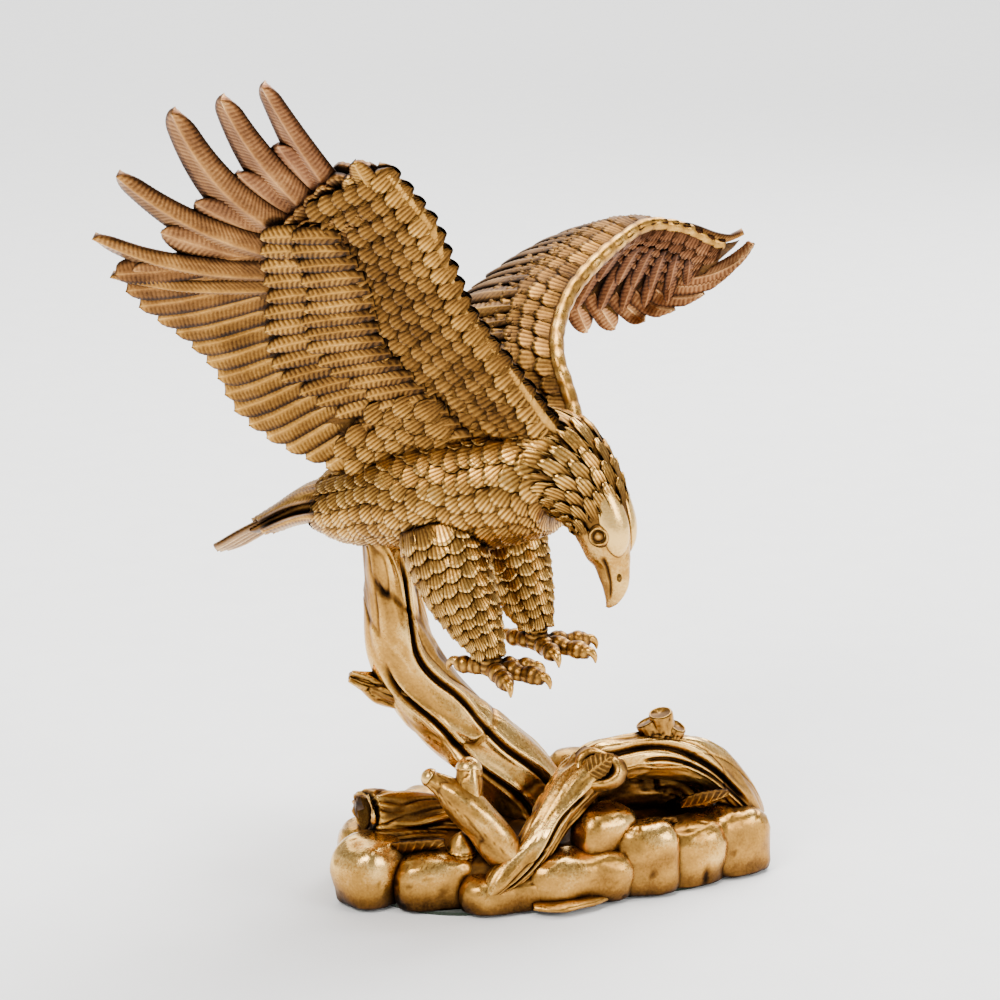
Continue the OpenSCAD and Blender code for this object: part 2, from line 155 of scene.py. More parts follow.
def latticeNoise(points, seed):
    cell = np.floor(points).astype(np.int64)
    part = points - cell
    part = part * part * (3 - 2 * part)
    total = 0
    for corner in range(8):
        offset = np.array([corner & 1, corner >> 1 & 1, corner >> 2 & 1])
        c = cell + offset
        n = c[..., 0] * 73856093 ^ c[..., 1] * 19349663 ^ c[..., 2] * 83492791 ^ (seed * 7919 + 13)
        n = (n * 1103515245 + 12345) & 0x7fffffff
        n = (n ^ n >> 15) * 1103515245 & 0x7fffffff
        share = np.where(offset == 1, part, 1 - part).prod(-1)
        total = total + (n >> 8) / float(1 << 23) * share
    return total * 2 - 1


def grain(points, size, seed=0, layers=3):
    # soft noise from -1 to 1 whose largest lumps are size across
    total, weight = 0, 0
    for k in range(layers):
        total = total + latticeNoise(points / size * 2 ** k + 17.3 * k, seed + k) * 0.5 ** k
        weight += 0.5 ** k
    return total / weight


class Casting:
    # collects skins, with how worn each point is (0 patina, 1 rubbed gold) and how reddish
    def __init__(self):
        self.points, self.wear, self.rose, self.quads, self.caps = [], [], [], [], []
        self.count = 0

    def add(self, grid, wear, rose=0.0, sheet=False):
        # a tube closed at both ends, or a sheet closed underneath
        rows, columns = grid.shape[:2]
        index = np.arange(rows * columns).reshape(rows, columns) + self.count
        here, beside = (index[:, :-1], index[:, 1:]) if sheet else (index, np.roll(index, -1, axis=1))
        self.quads.append(np.stack([here[:-1], beside[:-1], beside[1:], here[1:]], -1).reshape(-1, 4))
        if sheet:
            rim = np.concatenate([index[0], index[1:, -1], index[-1, -2::-1], index[-2:0:-1, 0]])
            self.caps.append(rim[::-1].tolist())
        else:
            self.caps += [index[0, ::-1].tolist(), index[-1].tolist()]
        self.points.append(grid.reshape(-1, 3))
        for kept, values in ((self.wear, wear), (self.rose, rose)):
            kept.append(np.broadcast_to(values, (rows, columns)).reshape(-1))
        self.count += rows * columns

    def finish(self, name, node):
        mesh = bpy.data.meshes.new(name)
        faces = np.vstack(self.quads).tolist() + self.caps
        mesh.from_pydata((np.vstack(self.points) * mm).tolist(), [], faces)
        for key, values in (("wear", self.wear), ("rose", self.rose)):
            data = mesh.attributes.new(key, "FLOAT", "POINT")
            data.data.foreach_set("value", np.concatenate(values).astype(np.float32))
        mesh.polygons.foreach_set("use_smooth", [True] * len(mesh.polygons))
        mesh.validate()
        mesh.materials.append(bronze)
        piece = bpy.data.objects.new(name, mesh)
        bpy.context.scene.collection.objects.link(piece)
        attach(piece, "root")
        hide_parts(node)
        print("made", name, len(mesh.polygons), "faces")


class Limb:
    # a round or oval body that follows a line of stations: place, half width, half depth
    def __init__(self, stations, side, steps=24):
        line = smoothLine(stations, steps)
        self.centre, self.half = line[:, :3], line[:, 3:5]
        self.along = runLength(self.centre)
        self.length = self.along[-1]
        self.way = unit(np.gradient(self.centre, axis=0))
        side = np.asarray(side, float)
        self.across = unit(side - self.way * (self.way @ side)[:, None])
        self.over = np.cross(self.way, self.across)

    def read(self, values, s):
        return readTable(s, self.along, values)

    def girth(self, s):
        return self.read(self.half, s).mean(-1)

    def flat(self, s, b, height):
        # b mm to the side of the line and height over it
        return within(self.read(self.centre, s), (self.read(self.across, s), b),
                      (self.read(self.over, s), height))

    def at(self, s, turn, height=0.0):
        s, turn, height = np.broadcast_arrays(s, turn, height)
        half = self.read(self.half, s)
        return self.flat(s, (half[..., 0] + height) * np.cos(turn), (half[..., 1] + height) * np.sin(turn))

    def where(self, height):
        # how far along the line a given height over the floor lies
        return self.along[np.argmin(abs(self.centre[:, 2] - height))]


def addLimb(casting, limb, rows, columns, relief, reach=1.0):
    # relief gives height and wear; reach is the share of the limb's length that is covered
    s, turn = table(np.linspace(0, limb.length * reach, rows), spokes(columns))
    height, wear = relief(s, turn, limb.at(s, turn))
    casting.add(limb.at(s, turn, height), wear)


def lumpy(lumps, worn, vary=(0.0, 1.0, 0), sunk=0.0):
    # plain soft lumps; lumps and vary say how much, how large and which seed
    def relief(s, turn, places):
        return lumps[0] * grain(places, *lumps[1:]) - sunk, worn + vary[0] * grain(places, *vary[1:])
    return relief


# Feathers; a surface turns (a, b, height) into places

scaleLook = dict(barbs=6, lift=1.5, crown=0.5, groove=0.24, narrow=0.42, point=0.3, worn=0.8, dip=0.7,
                 sharp=0.0, rose=0.0)
plumeLook = dict(barb=1.7, slant=0.9, groove=0.13, shaft=0.45, thick=1.6, lift=0.8, tip=0.25, taper=0.0,
                 taperFrom=0.0, skew=0.0, root=0.55, roll=0.5, worn=0.72, rose=0.0, bend=0.0, both=False,
                 contrast=0.2)
rimDepth = 1.2
hiddenWear = 0.05
# a plume's columns from edge to edge, closest where the shaft and the rims are
plumeColumns = np.array([-1, -0.93, -0.6, -0.3, -0.09, 0, 0.09, 0.3, 0.6, 0.93, 1.0])


def bezier(base, middle, tip, v):
    v = v[..., None]
    return base * (1 - v) ** 2 + middle * 2 * v * (1 - v) + tip * v ** 2


def addScale(casting, surface, base, tip, halfWidth, look, **changes):
    # a small rounded feather whose barbs fan out to its rim
    look = scaleLook | look | changes
    base = np.asarray(base, float)
    way = np.asarray(tip, float) - base
    side = unit(np.array([-way[1], way[0]]))
    columns = 2 * look["barbs"] + 1
    v, u = table(np.array([0, 0.3, 0.6, 0.85, 1.0]), np.linspace(-1, 1, columns))
    reach = 1 - look["point"] * (1 - np.sqrt(clamp(1 - u ** 2))) - 0.1 * abs(u)
    width = halfWidth * (look["narrow"] + (1 - look["narrow"]) * np.sin(v * quarterTurn) ** 0.8)
    width = width * (1 - look["sharp"] * clamp(v - 0.45) ** 1.5 * 1.6)
    comb = np.where(np.arange(columns) % 2 == 0, 1.0, -1.0) * np.minimum(1, 1.6 * (v + 0.15))
    height = (-look["dip"] * (1 - v) + look["lift"] * v ** 1.2 + look["crown"] * (1 - u ** 2)
              + look["groove"] * comb)
    wear = (look["worn"] * (0.4 + 0.6 * v) * (0.74 + 0.3 * comb) + 0.12 * (1 - abs(u))
            + 0.12 * blend(v, 0.8, 1))
    # rim turned down so the feather has a thick edge
    border = ((0, 1), (1, 1))
    a, b, height, wear = (np.pad(x, border, mode="edge") for x in (v * reach, u * width, height, wear))
    rim = np.pad(np.zeros(v.shape, bool), border, constant_values=True)
    place = within(base, (way, a + 0.02 * rim), (side, b))
    casting.add(surface(place[..., 0], place[..., 1], np.where(rim, -rimDepth, height)),
                np.where(rim, hiddenWear, wear), look["rose"], sheet=True)


def addPlume(casting, surface, base, middle, tip, halfWidth, look, **changes):
    # a long feather with a shaft and slanting barbs, closed all round
    look = plumeLook | look | changes
    base, middle, tip = (np.asarray(p, float) for p in (base, middle, tip))
    length = np.linalg.norm(tip - base)
    rows = max(int(2 * length / look["barb"]), 8)
    i = np.arange(rows + 1)
    v, u = table(i / rows, plumeColumns)
    ridge = np.where(i % 2 == 0, 1.0, -1.0)[:, None] * window(abs(u), 0.05, 0.2, 0.9, 1.0)
    v = v + look["slant"] * halfWidth / length * abs(u) * (1 - v) * np.minimum(1, v * 6)
    end = look["tip"]
    width = np.minimum(1, look["root"] + 1.6 * v) * np.sqrt(clamp(1 - (clamp(v - 1 + end) / end) ** 2))
    narrowing = 1 - look["taper"] * clamp((v - look["taperFrom"]) / (1 - look["taperFrom"]))
    width = np.maximum(width * narrowing, 0.02) * halfWidth * (1 + look["skew"] * u * (1 - v))
    slope = bezier(base, middle, tip, v + 0.01) - bezier(base, middle, tip, v - 0.01)
    side = unit(np.stack([-slope[..., 1], slope[..., 0]], -1))
    place = bezier(base, middle, tip, v) + side * (u * width)[..., None]
    x, y = place[..., 0], place[..., 1]
    swell = look["thick"] * 0.5 * np.sqrt(clamp(1 - u ** 2))
    body = swell + look["groove"] * ridge + look["shaft"] * near(u, 0, 0.12) * (1 - 0.6 * v)
    level = look["lift"] * v + look["roll"] * u + look["bend"] * v ** 2
    wear = look["worn"] * (0.85 + look["contrast"] * ridge) * (0.6 + 0.4 * blend(v, 0.05, 0.4))
    wear = wear + 0.25 * near(u, 0, 0.1) + 0.2 * blend(v, 0.9, 1.0) - 0.4 * blend(abs(u), 0.8, 1)
    if look["both"]:
        under, wearUnder = surface(x, y, level - body)[:, :0:-1], wear[:, :0:-1]
    else:
        # a hidden underside needs only its edge and its middle
        under = surface(x, y, level - swell)[:, [10, 6]]
        wearUnder = np.full(under.shape[:2], hiddenWear)
    grid = np.concatenate([surface(x, y, level + body)[:, :-1], under], axis=1)
    casting.add(grid, clamp(np.concatenate([wear[:, :-1], wearUnder], axis=1)), look["rose"])


def addScaleRows(casting, limb, settings, rng, raised=lambda s: 0.0, bare=lambda s, turn: False):
    # rows of small feathers round a limb; their tips point back along it when backward is 1
    start, end, sizes = settings["start"], settings["end"], settings["size"]
    s = start
    row = 0
    while s < end:
        share = (s - start) / (end - start)
        size = sizes[0] * (1 - share) + sizes[1] * share
        radius = limb.girth(s)
        count = max(int(fullTurn * radius / (size * settings["spacing"])), 6)

        def surface(a, b, h):
            return limb.at(clamp(a, 0, limb.length), b / radius, h + raised(a))
        for k in range(count):
            turn = fullTurn * (k + 0.5 * (row % 2)) / count + rng.uniform(-0.08, 0.08) * size / radius
            if bare(s, turn):
                continue
            flow = settings["flow"] * -math.cos(turn) + rng.uniform(-0.12, 0.12)
            way = np.array([-settings["backward"] * math.cos(flow), math.sin(flow)])
            base = np.array([s, turn * radius])
            tip = base + way * (size * settings["long"] * rng.uniform(0.93, 1.07))
            addScale(casting, surface, base, tip, size * settings["wide"], settings["look"],
                     worn=settings["look"]["worn"] * rng.uniform(0.85, 1.1))
        s += size * settings["step"]
        row += 1


# Bronze and the fixings

def hexColour(text):
    parts = [int(text[i:i + 2], 16) / 255 for i in (1, 3, 5)]
    return [p / 12.92 if p <= 0.04045 else ((p + 0.055) / 1.055) ** 2.4 for p in parts] + [1]


def newMaterial(name):
    material = bpy.data.materials.new(name)
    material.use_nodes = True
    material.node_tree.nodes.clear()
    return material, material.node_tree


def addNode(tree, kind, settings=None, out=0, **links):
    # settings are node properties or socket values; links are sockets by name, with _ for a
    # space, or by i and a number; gives the socket called out
    node = tree.nodes.new("ShaderNode" + kind)
    for key, value in (settings or {}).items():
        if isinstance(key, str) and hasattr(node, key):
            setattr(node, key, value)
        else:
            node.inputs[key].default_value = value
    for key, source in links.items():
        target = int(key[1:]) if key[1:].isdigit() else key.replace("_", " ")
        tree.links.new(source, node.inputs[target])
    return node.outputs[out] if node.outputs else None


def addNoise(tree, place, size, detail, roughness=0.5):
    settings = {"Scale": 1 / (size * mm), "Detail": detail, "Roughness": roughness}
    return addNode(tree, "TexNoise", settings, Vector=place)


def addRamp(tree, stops, source):
    colour = addNode(tree, "ValToRGB", i0=source)
    ramp = colour.node.color_ramp
    while len(ramp.elements) > 1:
        ramp.elements.remove(ramp.elements[-1])
    for k, (place, shade) in enumerate(stops):
        element = ramp.elements[0] if k == 0 else ramp.elements.new(place)
        element.position = place
        element.color = hexColour(shade)
    return colour


def addShader(tree, settings, bump=None, **links):
    # the shader and its output; bump is a strength, a depth in mm and the height it follows
    if bump:
        strength, depth, height = bump
        links["Normal"] = addNode(tree, "Bump", {"Strength": strength, "Distance": depth * mm}, Height=height)
    addNode(tree, "OutputMaterial", Surface=addNode(tree, "BsdfPrincipled", settings, **links))


bronzeFinish = dict(
    # antiqued bronze: dark brown wax in the recesses, rubbed back to gold on what stands proud; shadeReach is
    # how far the painted shade in creases and gaps reaches
    gold=[(0.0, "#100a05"), (0.22, "#35210e"), (0.5, "#775123"), (0.78, "#b8873d"), (1.0, "#e8bc6e")],
    rose=[(0.0, "#180d08"), (0.25, "#432617"), (0.55, "#7a4d35"), (0.8, "#a37250"), (1.0, "#d8a875")],
    cloudSize=14, speckSize=1.1, pitSize=2.2, shadeReach=3.6, dullest=0.58, shiniest=0.22)


def castBronze():
    # cast bronze, chased and waxed: satin metal, gold on the ridges and brown in the hollows, partly the wax
    # patina in the wear attribute and partly painted shade from ambient occlusion
    material, tree = newMaterial("antiquedBronzePaintedShade")
    look = bronzeFinish
    place = addNode(tree, "TexCoord", out="Object")
    wear = addNode(tree, "Attribute", {"attribute_name": "wear"}, out="Fac")
    rose = addNode(tree, "Attribute", {"attribute_name": "rose"}, out="Fac")
    clouds = addNoise(tree, place, look["cloudSize"], 4)
    specks = addNoise(tree, place, look["speckSize"], 3)
    # painted shade: an ambient occlusion node darkens the colour in creases and in the gaps between parts and
    # pieces
    shade = addNode(tree, "AmbientOcclusion", {"samples": 6, "Distance": look["shadeReach"] * mm}, out="AO")
    paintedShadeFactor = addNode(tree, "MapRange", {"From Min": 0.25, "From Max": 0.85}, Value=shade)
    cloudy = addNode(tree, "Math", {"operation": "MULTIPLY_ADD", 1: 0.5, 2: -0.25}, i0=clouds)
    speckled = addNode(tree, "Math", {"operation": "MULTIPLY_ADD", 1: 0.34, 2: -0.17}, i0=specks)
    varied = addNode(tree, "Math", {"operation": "ADD"}, i0=cloudy, i1=speckled)
    rubbed = addNode(tree, "Math", {"operation": "ADD"}, i0=wear, i1=varied)
    # the rubbed wear times the painted shade sets both the colour and the roughness
    level = addNode(tree, "Math", {"operation": "MULTIPLY", "use_clamp": True}, i0=rubbed, i1=paintedShadeFactor)
    colour = addNode(tree, "Mix", {"data_type": "RGBA"}, out=2, i0=rose,
                     i6=addRamp(tree, look["gold"], level), i7=addRamp(tree, look["rose"], level))
    rough = addNode(tree, "MapRange", {"To Min": look["dullest"], "To Max": look["shiniest"]}, Value=level)
    uneven = addNode(tree, "Math", {"operation": "ADD"}, i0=rough, i1=speckled)
    addShader(tree, {"Metallic": 1.0}, (0.35, 0.4, addNoise(tree, place, look["pitSize"], 5, 0.6)),
              Base_Color=colour, Roughness=uneven)
    return material


def turnedMetal(name, colours, roughness, grainSize):
    # machined metal: fine turning marks that break up the shine
    material, tree = newMaterial(name)
    place = addNode(tree, "TexCoord", out="Object")
    stretched = addNode(tree, "Mapping", {"Scale": (1, 1, 8)}, Vector=place)
    marks = addNoise(tree, stretched, grainSize, 3)
    rough = addNode(tree, "MapRange", {"To Min": roughness - 0.08, "To Max": roughness + 0.12}, Value=marks)
    addShader(tree, {"Metallic": 1.0}, (0.2, 0.05, marks), Roughness=rough,
              Base_Color=addRamp(tree, [(0.3, colours[0]), (0.7, colours[1])], marks))
    return material


def woolFelt():
    # pressed wool felt: matt, slightly fuzzy, mottled dark green
    material, tree = newMaterial("pressedWoolFelt")
    fibres = addNoise(tree, addNode(tree, "TexCoord", out="Object"), 0.8, 6, 0.7)
    addShader(tree, {"Roughness": 0.95, "Sheen Weight": 0.3}, (0.6, 0.3, fibres),
              Base_Color=addRamp(tree, [(0.3, "#10180f"), (0.7, "#2a3a28")], fibres))
    return material


bronze = castBronze()
print("materials ready")


# Right wing: its palm faces the display side and is given in the wing's plane,
# a along the arm and b rearward

rightWing = dict(
    root=(-3, -50, 210), span=(-0.460, -0.343, 0.819), rear=(-0.859, 0.408, -0.311),
    curl=12, camber=7, arm=4.3,
    gap=dict(barb=1.9, groove=0.14, shaft=0.2, thick=2.4, root=1.0, tip=0.34, lift=0, roll=-0.8, worn=0.56,
             both=True),
    primary=dict(barb=1.9, slant=0.8, groove=0.12, shaft=1.0, thick=4.0, lift=0, roll=-1.2, root=1.0, tip=0.1,
                 taper=0.62, taperFrom=0.2, skew=0.3, worn=0.6, both=True, bend=-1.0),
    secondary=dict(barb=1.9, thick=2.6, shaft=0.3, roll=1.3, both=True, lift=0.0, contrast=0.16, tip=0.13,
                   groove=0.14),
    covert=dict(lift=1.7, tip=0.42, barb=2.3, thick=2.6, shaft=0.2, groove=0.2, contrast=0.32),
    hand=dict(barbs=5, lift=1.8, dip=1.4, rose=0.25), fold=dict(lift=1.8, dip=2.0),
    small=dict(barbs=5, groove=0.25, lift=1.6, dip=1.4),
    thumb=dict(thick=3.2, tip=0.4, groove=0.25, lift=1.0))
rightLead = [(-30, -1), (-3, 3), (35, 7), (54, 8), (77, 3), (97, -2), (116, -1), (127, 0), (136, 8)]
rightRear = [(-22, 84), (0, 92), (30, 104), (60, 104), (96, 84), (112, 50), (126, 20)]
# tips of the secondaries, of the two rows of coverts, and the border of the small feathers
secondaryTips = [(117, 129), (99, 130), (82, 124), (60, 121), (38, 125), (20, 120), (4, 109), (-10, 100)]
secondaryBases = [(102, 50), (88, 60), (74, 64), (56, 66), (42, 66), (30, 62), (20, 56), (10, 48)]
coverts = [
    dict(tips=[(116, 61), (104, 70), (88, 77), (73, 87), (56, 95), (40, 94), (22, 86), (4, 80), (-12, 76)],
         bases=[(108, 38), (94, 44), (78, 50), (62, 54), (48, 56), (36, 56), (20, 52), (6, 48), (-8, 44)],
         count=17, halfWidth=4.7, raised=1.0),
    dict(tips=[(112, 49), (98, 56), (83, 61), (70, 72), (54, 77), (41, 73), (24, 66), (8, 60), (-8, 56)],
         bases=[(106, 30), (90, 32), (74, 36), (60, 42), (47, 45), (34, 43), (20, 40), (6, 36), (-8, 32)],
         count=18, halfWidth=4.4, raised=2.2)]
smallBorder = [(-20, 40), (10, 42), (36, 47), (51, 53), (61, 54), (79, 48), (90, 42), (112, 38), (124, 30)]
primaries = [
    # base, bend and tip of each spread feather and its half width
    ((104, 25), (142, 26), (178, 19), 10.5), ((102, 35), (138, 48), (178, 37), 13.0),
    ((99, 46), (128, 74), (179, 58), 14.5), ((95, 55), (118, 90), (160, 97), 13.0),
    ((90, 62), (101, 102), (136, 126), 11.5), ((84, 66), (95, 104), (116, 132), 8.5)]
# base and tip of the vanes seen between the spread feathers
handGaps = [((104, 30), (151, 31)), ((101, 42), (144, 54)), ((97, 52), (137, 78)), ((92, 60), (129, 99)),
            ((86, 66), (116, 121))]
# small feathers over the roots of the spread ones: their arc, and how far in and how wide each ring is
handArc = [(131, 9), (132, 17), (129, 28), (124, 38), (119, 48), (113, 57), (108, 64)]
handRings = ((0.0, 5.2), (6.0, 4.8), (12.0, 4.6), (18.0, 4.4))
handMiddle = (96.0, 22.0)
thumbs = (((108, 17), (120, 14), (131, 12), 4.8), ((110, 8), (124, 7), (137, 5), 5.0))


def leadAt(a):
    return np.interp(a, *zip(*rightLead))


def rightSurface(a, b, h, side=1):
    root, span, rear = (np.array(rightWing[k], float) for k in ("root", "span", "rear"))
    camber = rightWing["camber"] * np.sin(math.pi * clamp(b, 0, 110) / 110) * (1 - clamp(a, 0, 200) / 220)
    curl = rightWing["curl"] * (a / 150) ** 2 - camber
    return within(root, (span, a), (rear, b), (np.cross(span, rear), curl + side * h))


def rightThick(a, b):
    # half thickness of the wing's flesh, full behind the leading edge and thin at the rear
    depth = clamp(b - leadAt(a), 0, 200)
    swell = 1 + 0.9 * clamp(1 - (a + 20) / 45)
    return rightWing["arm"] * swell * np.sqrt(clamp(depth / 8, 0.02, 1)) * (1 - 0.72 * blend(depth, 35, 95))


def rightOver(raised, side):
    # a surface raised over the flesh, on the palm (side 1) or on the back (side -1)
    return lambda a, b, h: rightSurface(a, b, rightThick(a, b) + raised + h, side)


def buildRightWing():
    rng = np.random.default_rng(11)
    wing = Casting()
    # flesh of the wing under its feathers
    a, t = table(np.linspace(-22, 126, 90), eased(26))
    b = leadAt(a) + (np.interp(a, *zip(*rightRear)) - leadAt(a)) * t
    thick = rightThick(a, b) * np.sqrt(clamp(np.minimum(t * 12, (1 - t) * 12)))
    wing.add(shell(rightSurface(a, b, thick), rightSurface(a, b, -thick)), 0.3)
    for k, (base, tip) in enumerate(handGaps):
        addPlume(wing, rightSurface, base, halfway(base, tip, (-3.0, 2.5)), tip, 10.5, rightWing["gap"],
                 rose=0.8 - 0.1 * k)
    for k, (base, bend, tip, half) in enumerate(primaries):
        addPlume(wing, rightSurface, base, bend, tip, half, rightWing["primary"], rose=0.7 - 0.11 * k)
    count = 16
    for k, (base, tip) in enumerate(zip(spread(secondaryBases, count), spread(secondaryTips, count))):
        addPlume(wing, rightSurface, base, halfway(base, tip, (-3.0, 1.5)), tip, 6.4, rightWing["secondary"],
                 rose=max(0.4 - 0.09 * k, 0), worn=0.48 + 0.012 * k)
    for side in (1, -1):
        addRightCoverts(wing, side, rng)
    # bastard wing at the wrist
    for base, middle, tip, half in thumbs:
        addPlume(wing, lambda a, b, h: rightSurface(a, b, 3.2 + h), base, middle, tip, half,
                 rightWing["thumb"])
    # rounded leading edge, rubbed bright
    a = np.linspace(-24, 126, 40)
    lead = leadAt(a) + 0.2
    half = np.stack([np.full(40, 3.0), np.minimum(rightThick(a, lead + 3) - 0.3, 4.0)], 1)
    roll = Limb(np.hstack([rightSurface(a, lead, 0 * a), half]), rightWing["rear"], steps=4)
    addLimb(wing, roll, 160, 20, lumpy((0.25, 5, 13), 0.72, (0.2, 8, 15)))
    wing.finish("RightWing", "right_wing")


def addRightCoverts(wing, side, rng):
    for row in coverts:
        surface = rightOver(row["raised"], side)
        for base, tip in zip(spread(row["bases"], row["count"]), spread(row["tips"], row["count"])):
            tip = tip + rng.uniform(-0.8, 0.8, 2)
            addPlume(wing, surface, base, halfway(base, tip, (1.5, 1.0)), tip, row["halfWidth"],
                     rightWing["covert"], roll=0.7 * side, worn=0.58 + rng.uniform(-0.08, 0.08))
    # the roots of the spread feathers
    for ring, (inset, size) in enumerate(handRings):
        def surface(a, b, h):
            return rightSurface(a, b, 2.8 + 0.35 * ring + 0.1 * clamp(118 - a, 0, 20) + h, side)
        for place in spread(handArc, 8):
            out = unit(place - handMiddle)
            tip = place - out * inset + rng.uniform(-0.5, 0.5, 2)
            addScale(wing, surface, tip - out * 11, tip, size, rightWing["hand"],
                     worn=0.55 + rng.uniform(-0.08, 0.08))
    # the fold of the wing where it joins the back
    for row, b in enumerate(np.arange(44, 92, 7.0)):
        for a in np.arange(-20, 24 - 0.14 * b, 8.6) + (row % 2) * 4.3:
            base = np.array([a + 2.0, b - 6.0])
            tip = base + (-3.0, 13.5) + rng.uniform(-0.8, 0.8, 2)
            addScale(wing, rightOver(4.4, side), base, tip, 5.4, rightWing["fold"],
                     worn=0.74 + rng.uniform(-0.08, 0.08))
    # rows of small feathers behind the leading edge
    row, depth = 0, -0.5
    while depth < 52:
        size = 4.6 + 0.9 * depth / 50
        for a in np.arange(-20, 126, size * 1.75) + (row % 2) * size * 0.87:
            b = leadAt(a) + depth
            if b > np.interp(a, *zip(*smallBorder)) + 1:
                continue
            grow = 1 + 0.3 * clamp(1 - (a + 10) / 60)
            tip = np.array([a - 1.5, b + 5.5 * grow]) + rng.uniform(-0.4, 0.4, 2)
            addScale(wing, rightOver(1.2, side), (a + 0.8, b - 4.2), tip, size * grow, rightWing["small"],
                     worn=0.56 + rng.uniform(-0.1, 0.1) + 0.25 * near(depth, 0, 4))
        depth += size * 1.32
        row += 1


# Left wing: front and rear edges from the shoulder to the tip, share of thickness, camber

leftEdges = [
    ((9, -34, 192), (-66, 10, 152), 2.2, 0), ((8, -23, 202), (-66, 21, 162), 1.5, 4),
    ((2, -7, 221), (-72, 37, 176), 1, 8), ((3, 8, 232), (-72, 51, 182), 1, 10),
    ((8, 20, 242), (-68, 64, 190), 1, 12), ((16, 32, 250), (-59, 75, 195), 1, 12),
    ((27, 44, 258), (-48, 86, 203), 1, 11), ((41, 58, 264), (-28, 97, 213), 0.9, 9),
    ((57, 68, 261), (3, 100, 210), 0.8, 6), ((70, 75, 254), (27, 101, 211), 0.5, 4),
    ((77, 78, 253), (44, 95, 217), 0.4, 3), ((84, 81, 255), (64, 91, 227), 0.3, 2),
    ((88, 84, 258), (82, 87, 243), 0.25, 1), ((91, 86, 261), (90, 87, 258), 0.2, 0)]
leftWing = dict(
    arm=4.2, core=0.86, flights=22,
    flight=dict(barb=2.3, thick=2.4, groove=0.16, shaft=0.6, both=True, roll=-1.1, lift=0, root=0.9, tip=0.16,
                taper=0.25, skew=0.25),
    covert=dict(barb=2.6, groove=0.18, tip=0.4, thick=2.2, shaft=0.25, worn=0.56, lift=1.2),
    # share of the wing's depth where each row starts and ends, count, half width, how far raised
    covertRows=((0.3, 0.78, 22, 5.0, 0.8), (0.16, 0.54, 24, 4.5, 1.8)),
    small=dict(barbs=5, lift=1.7, dip=1.3), smallSize=4.5,
    thumb=dict(thick=4.2, tip=0.4, taper=0.2, groove=0.1, rose=0.3, both=True))


class LeftBlade:
    def __init__(self):
        line = smoothLine([front + rear + (share, camber) for front, rear, share, camber in leftEdges], 12)
        middle = (line[:, :3] + line[:, 3:6]) / 2
        self.along, self.line = runLength(middle), line
        self.length = self.along[-1]
        self.back = unit(np.cross(unit(np.gradient(middle, axis=0)), line[:, 3:6] - line[:, :3]))

    def at(self, s, t, h):
        # s along the wing, t from front to rear, h over the upper side
        s, t, h = np.broadcast_arrays(s, t, h)
        row = readTable(s, self.along, self.line)
        rise = row[..., 7] * np.sin(math.pi * clamp(t)) + h
        return within(row[..., :3], (row[..., 3:6] - row[..., :3], t),
                      (readTable(s, self.along, self.back), rise))

    def depth(self, s):
        row = readTable(s, self.along, self.line)
        return np.linalg.norm(row[..., 3:6] - row[..., :3], axis=-1)

    def thick(self, s, t):
        share, t = np.interp(s, self.along, self.line[:, 6]), clamp(t)
        return leftWing["arm"] * share * np.sqrt(clamp(t * 9, 0.02, 1)) * (1 - 0.75 * blend(t, 0.3, 0.9))

    def across(self, s, b):
        # share of the wing's depth that lies b mm behind the front edge
        return b / np.maximum(self.depth(s), 3)

    def over(self, raised, side):
        # a surface raised over the flesh of the upper (side 1) or under side (-1)
        def surface(a, b, h):
            t = self.across(a, b)
            return self.at(a, t, side * (self.thick(a, t) + raised + h))
        return surface


def buildLeftWing():
    rng = np.random.default_rng(23)
    wing = Casting()
    blade = LeftBlade()
    core = leftWing["core"]
    s, t = table(np.linspace(0, blade.length * core, 80), eased(24) * core)
    thick = blade.thick(s, t) * np.sqrt(clamp(np.minimum(t * 14, (core - t) * 14)))
    wing.add(shell(blade.at(s, t, thick), blade.at(s, t, -thick)), 0.3)

    # flight feathers fan from the hand round to the shoulder, seen from below as curved blades
    def flightSurface(a, b, h):
        return blade.at(clamp(a, 0, blade.length), clamp(blade.across(a, b), 0, 1.02), h)
    for share in np.arange(leftWing["flights"]) / (leftWing["flights"] - 1):
        s0 = blade.length * (0.04 + 0.66 * share ** 0.95)
        s1 = blade.length * (0.03 + 0.95 * share ** 0.9)
        middle = (s0 * 0.45 + s1 * 0.55, blade.depth((s0 + s1) / 2) * 0.72)
        addPlume(wing, flightSurface, (s0, blade.depth(s0) * 0.3), middle, (s1, blade.depth(s1)),
                 7.6 - 1.6 * share, leftWing["flight"], rose=0.75 * blend(share, 0.25, 0.5))
    for side in (1, -1):
        addLeftCoverts(wing, blade, side, rng)
    # bright roll along the leading edge, chased into plates
    s = np.linspace(2, blade.length * 0.8, 40)
    half = np.stack([np.linspace(4.4, 2.2, 40), np.linspace(3.6, 2.0, 40)], 1)
    roll = Limb(np.hstack([blade.at(s, 0.6 / blade.depth(s), 0 * s), half]), up, steps=4)

    def plates(s, turn, places):
        plate = abs(np.sin(s / 2.6)) ** 0.5
        return 0.4 * plate - 0.2 + 0.3 * grain(places, 5, 17), 0.55 + 0.25 * plate
    addLimb(wing, roll, 190, 24, plates)
    # long thumb feather over the wrist
    base, middle, tip = ((blade.length * share, b) for share, b in ((0.62, 4), (0.72, 2), (0.86, -3)))
    addPlume(wing, lambda a, b, h: blade.at(a, blade.across(a, b), h + 1.5), base, middle, tip, 4.6,
             leftWing["thumb"])
    wing.finish("LeftWing", "left_wing")


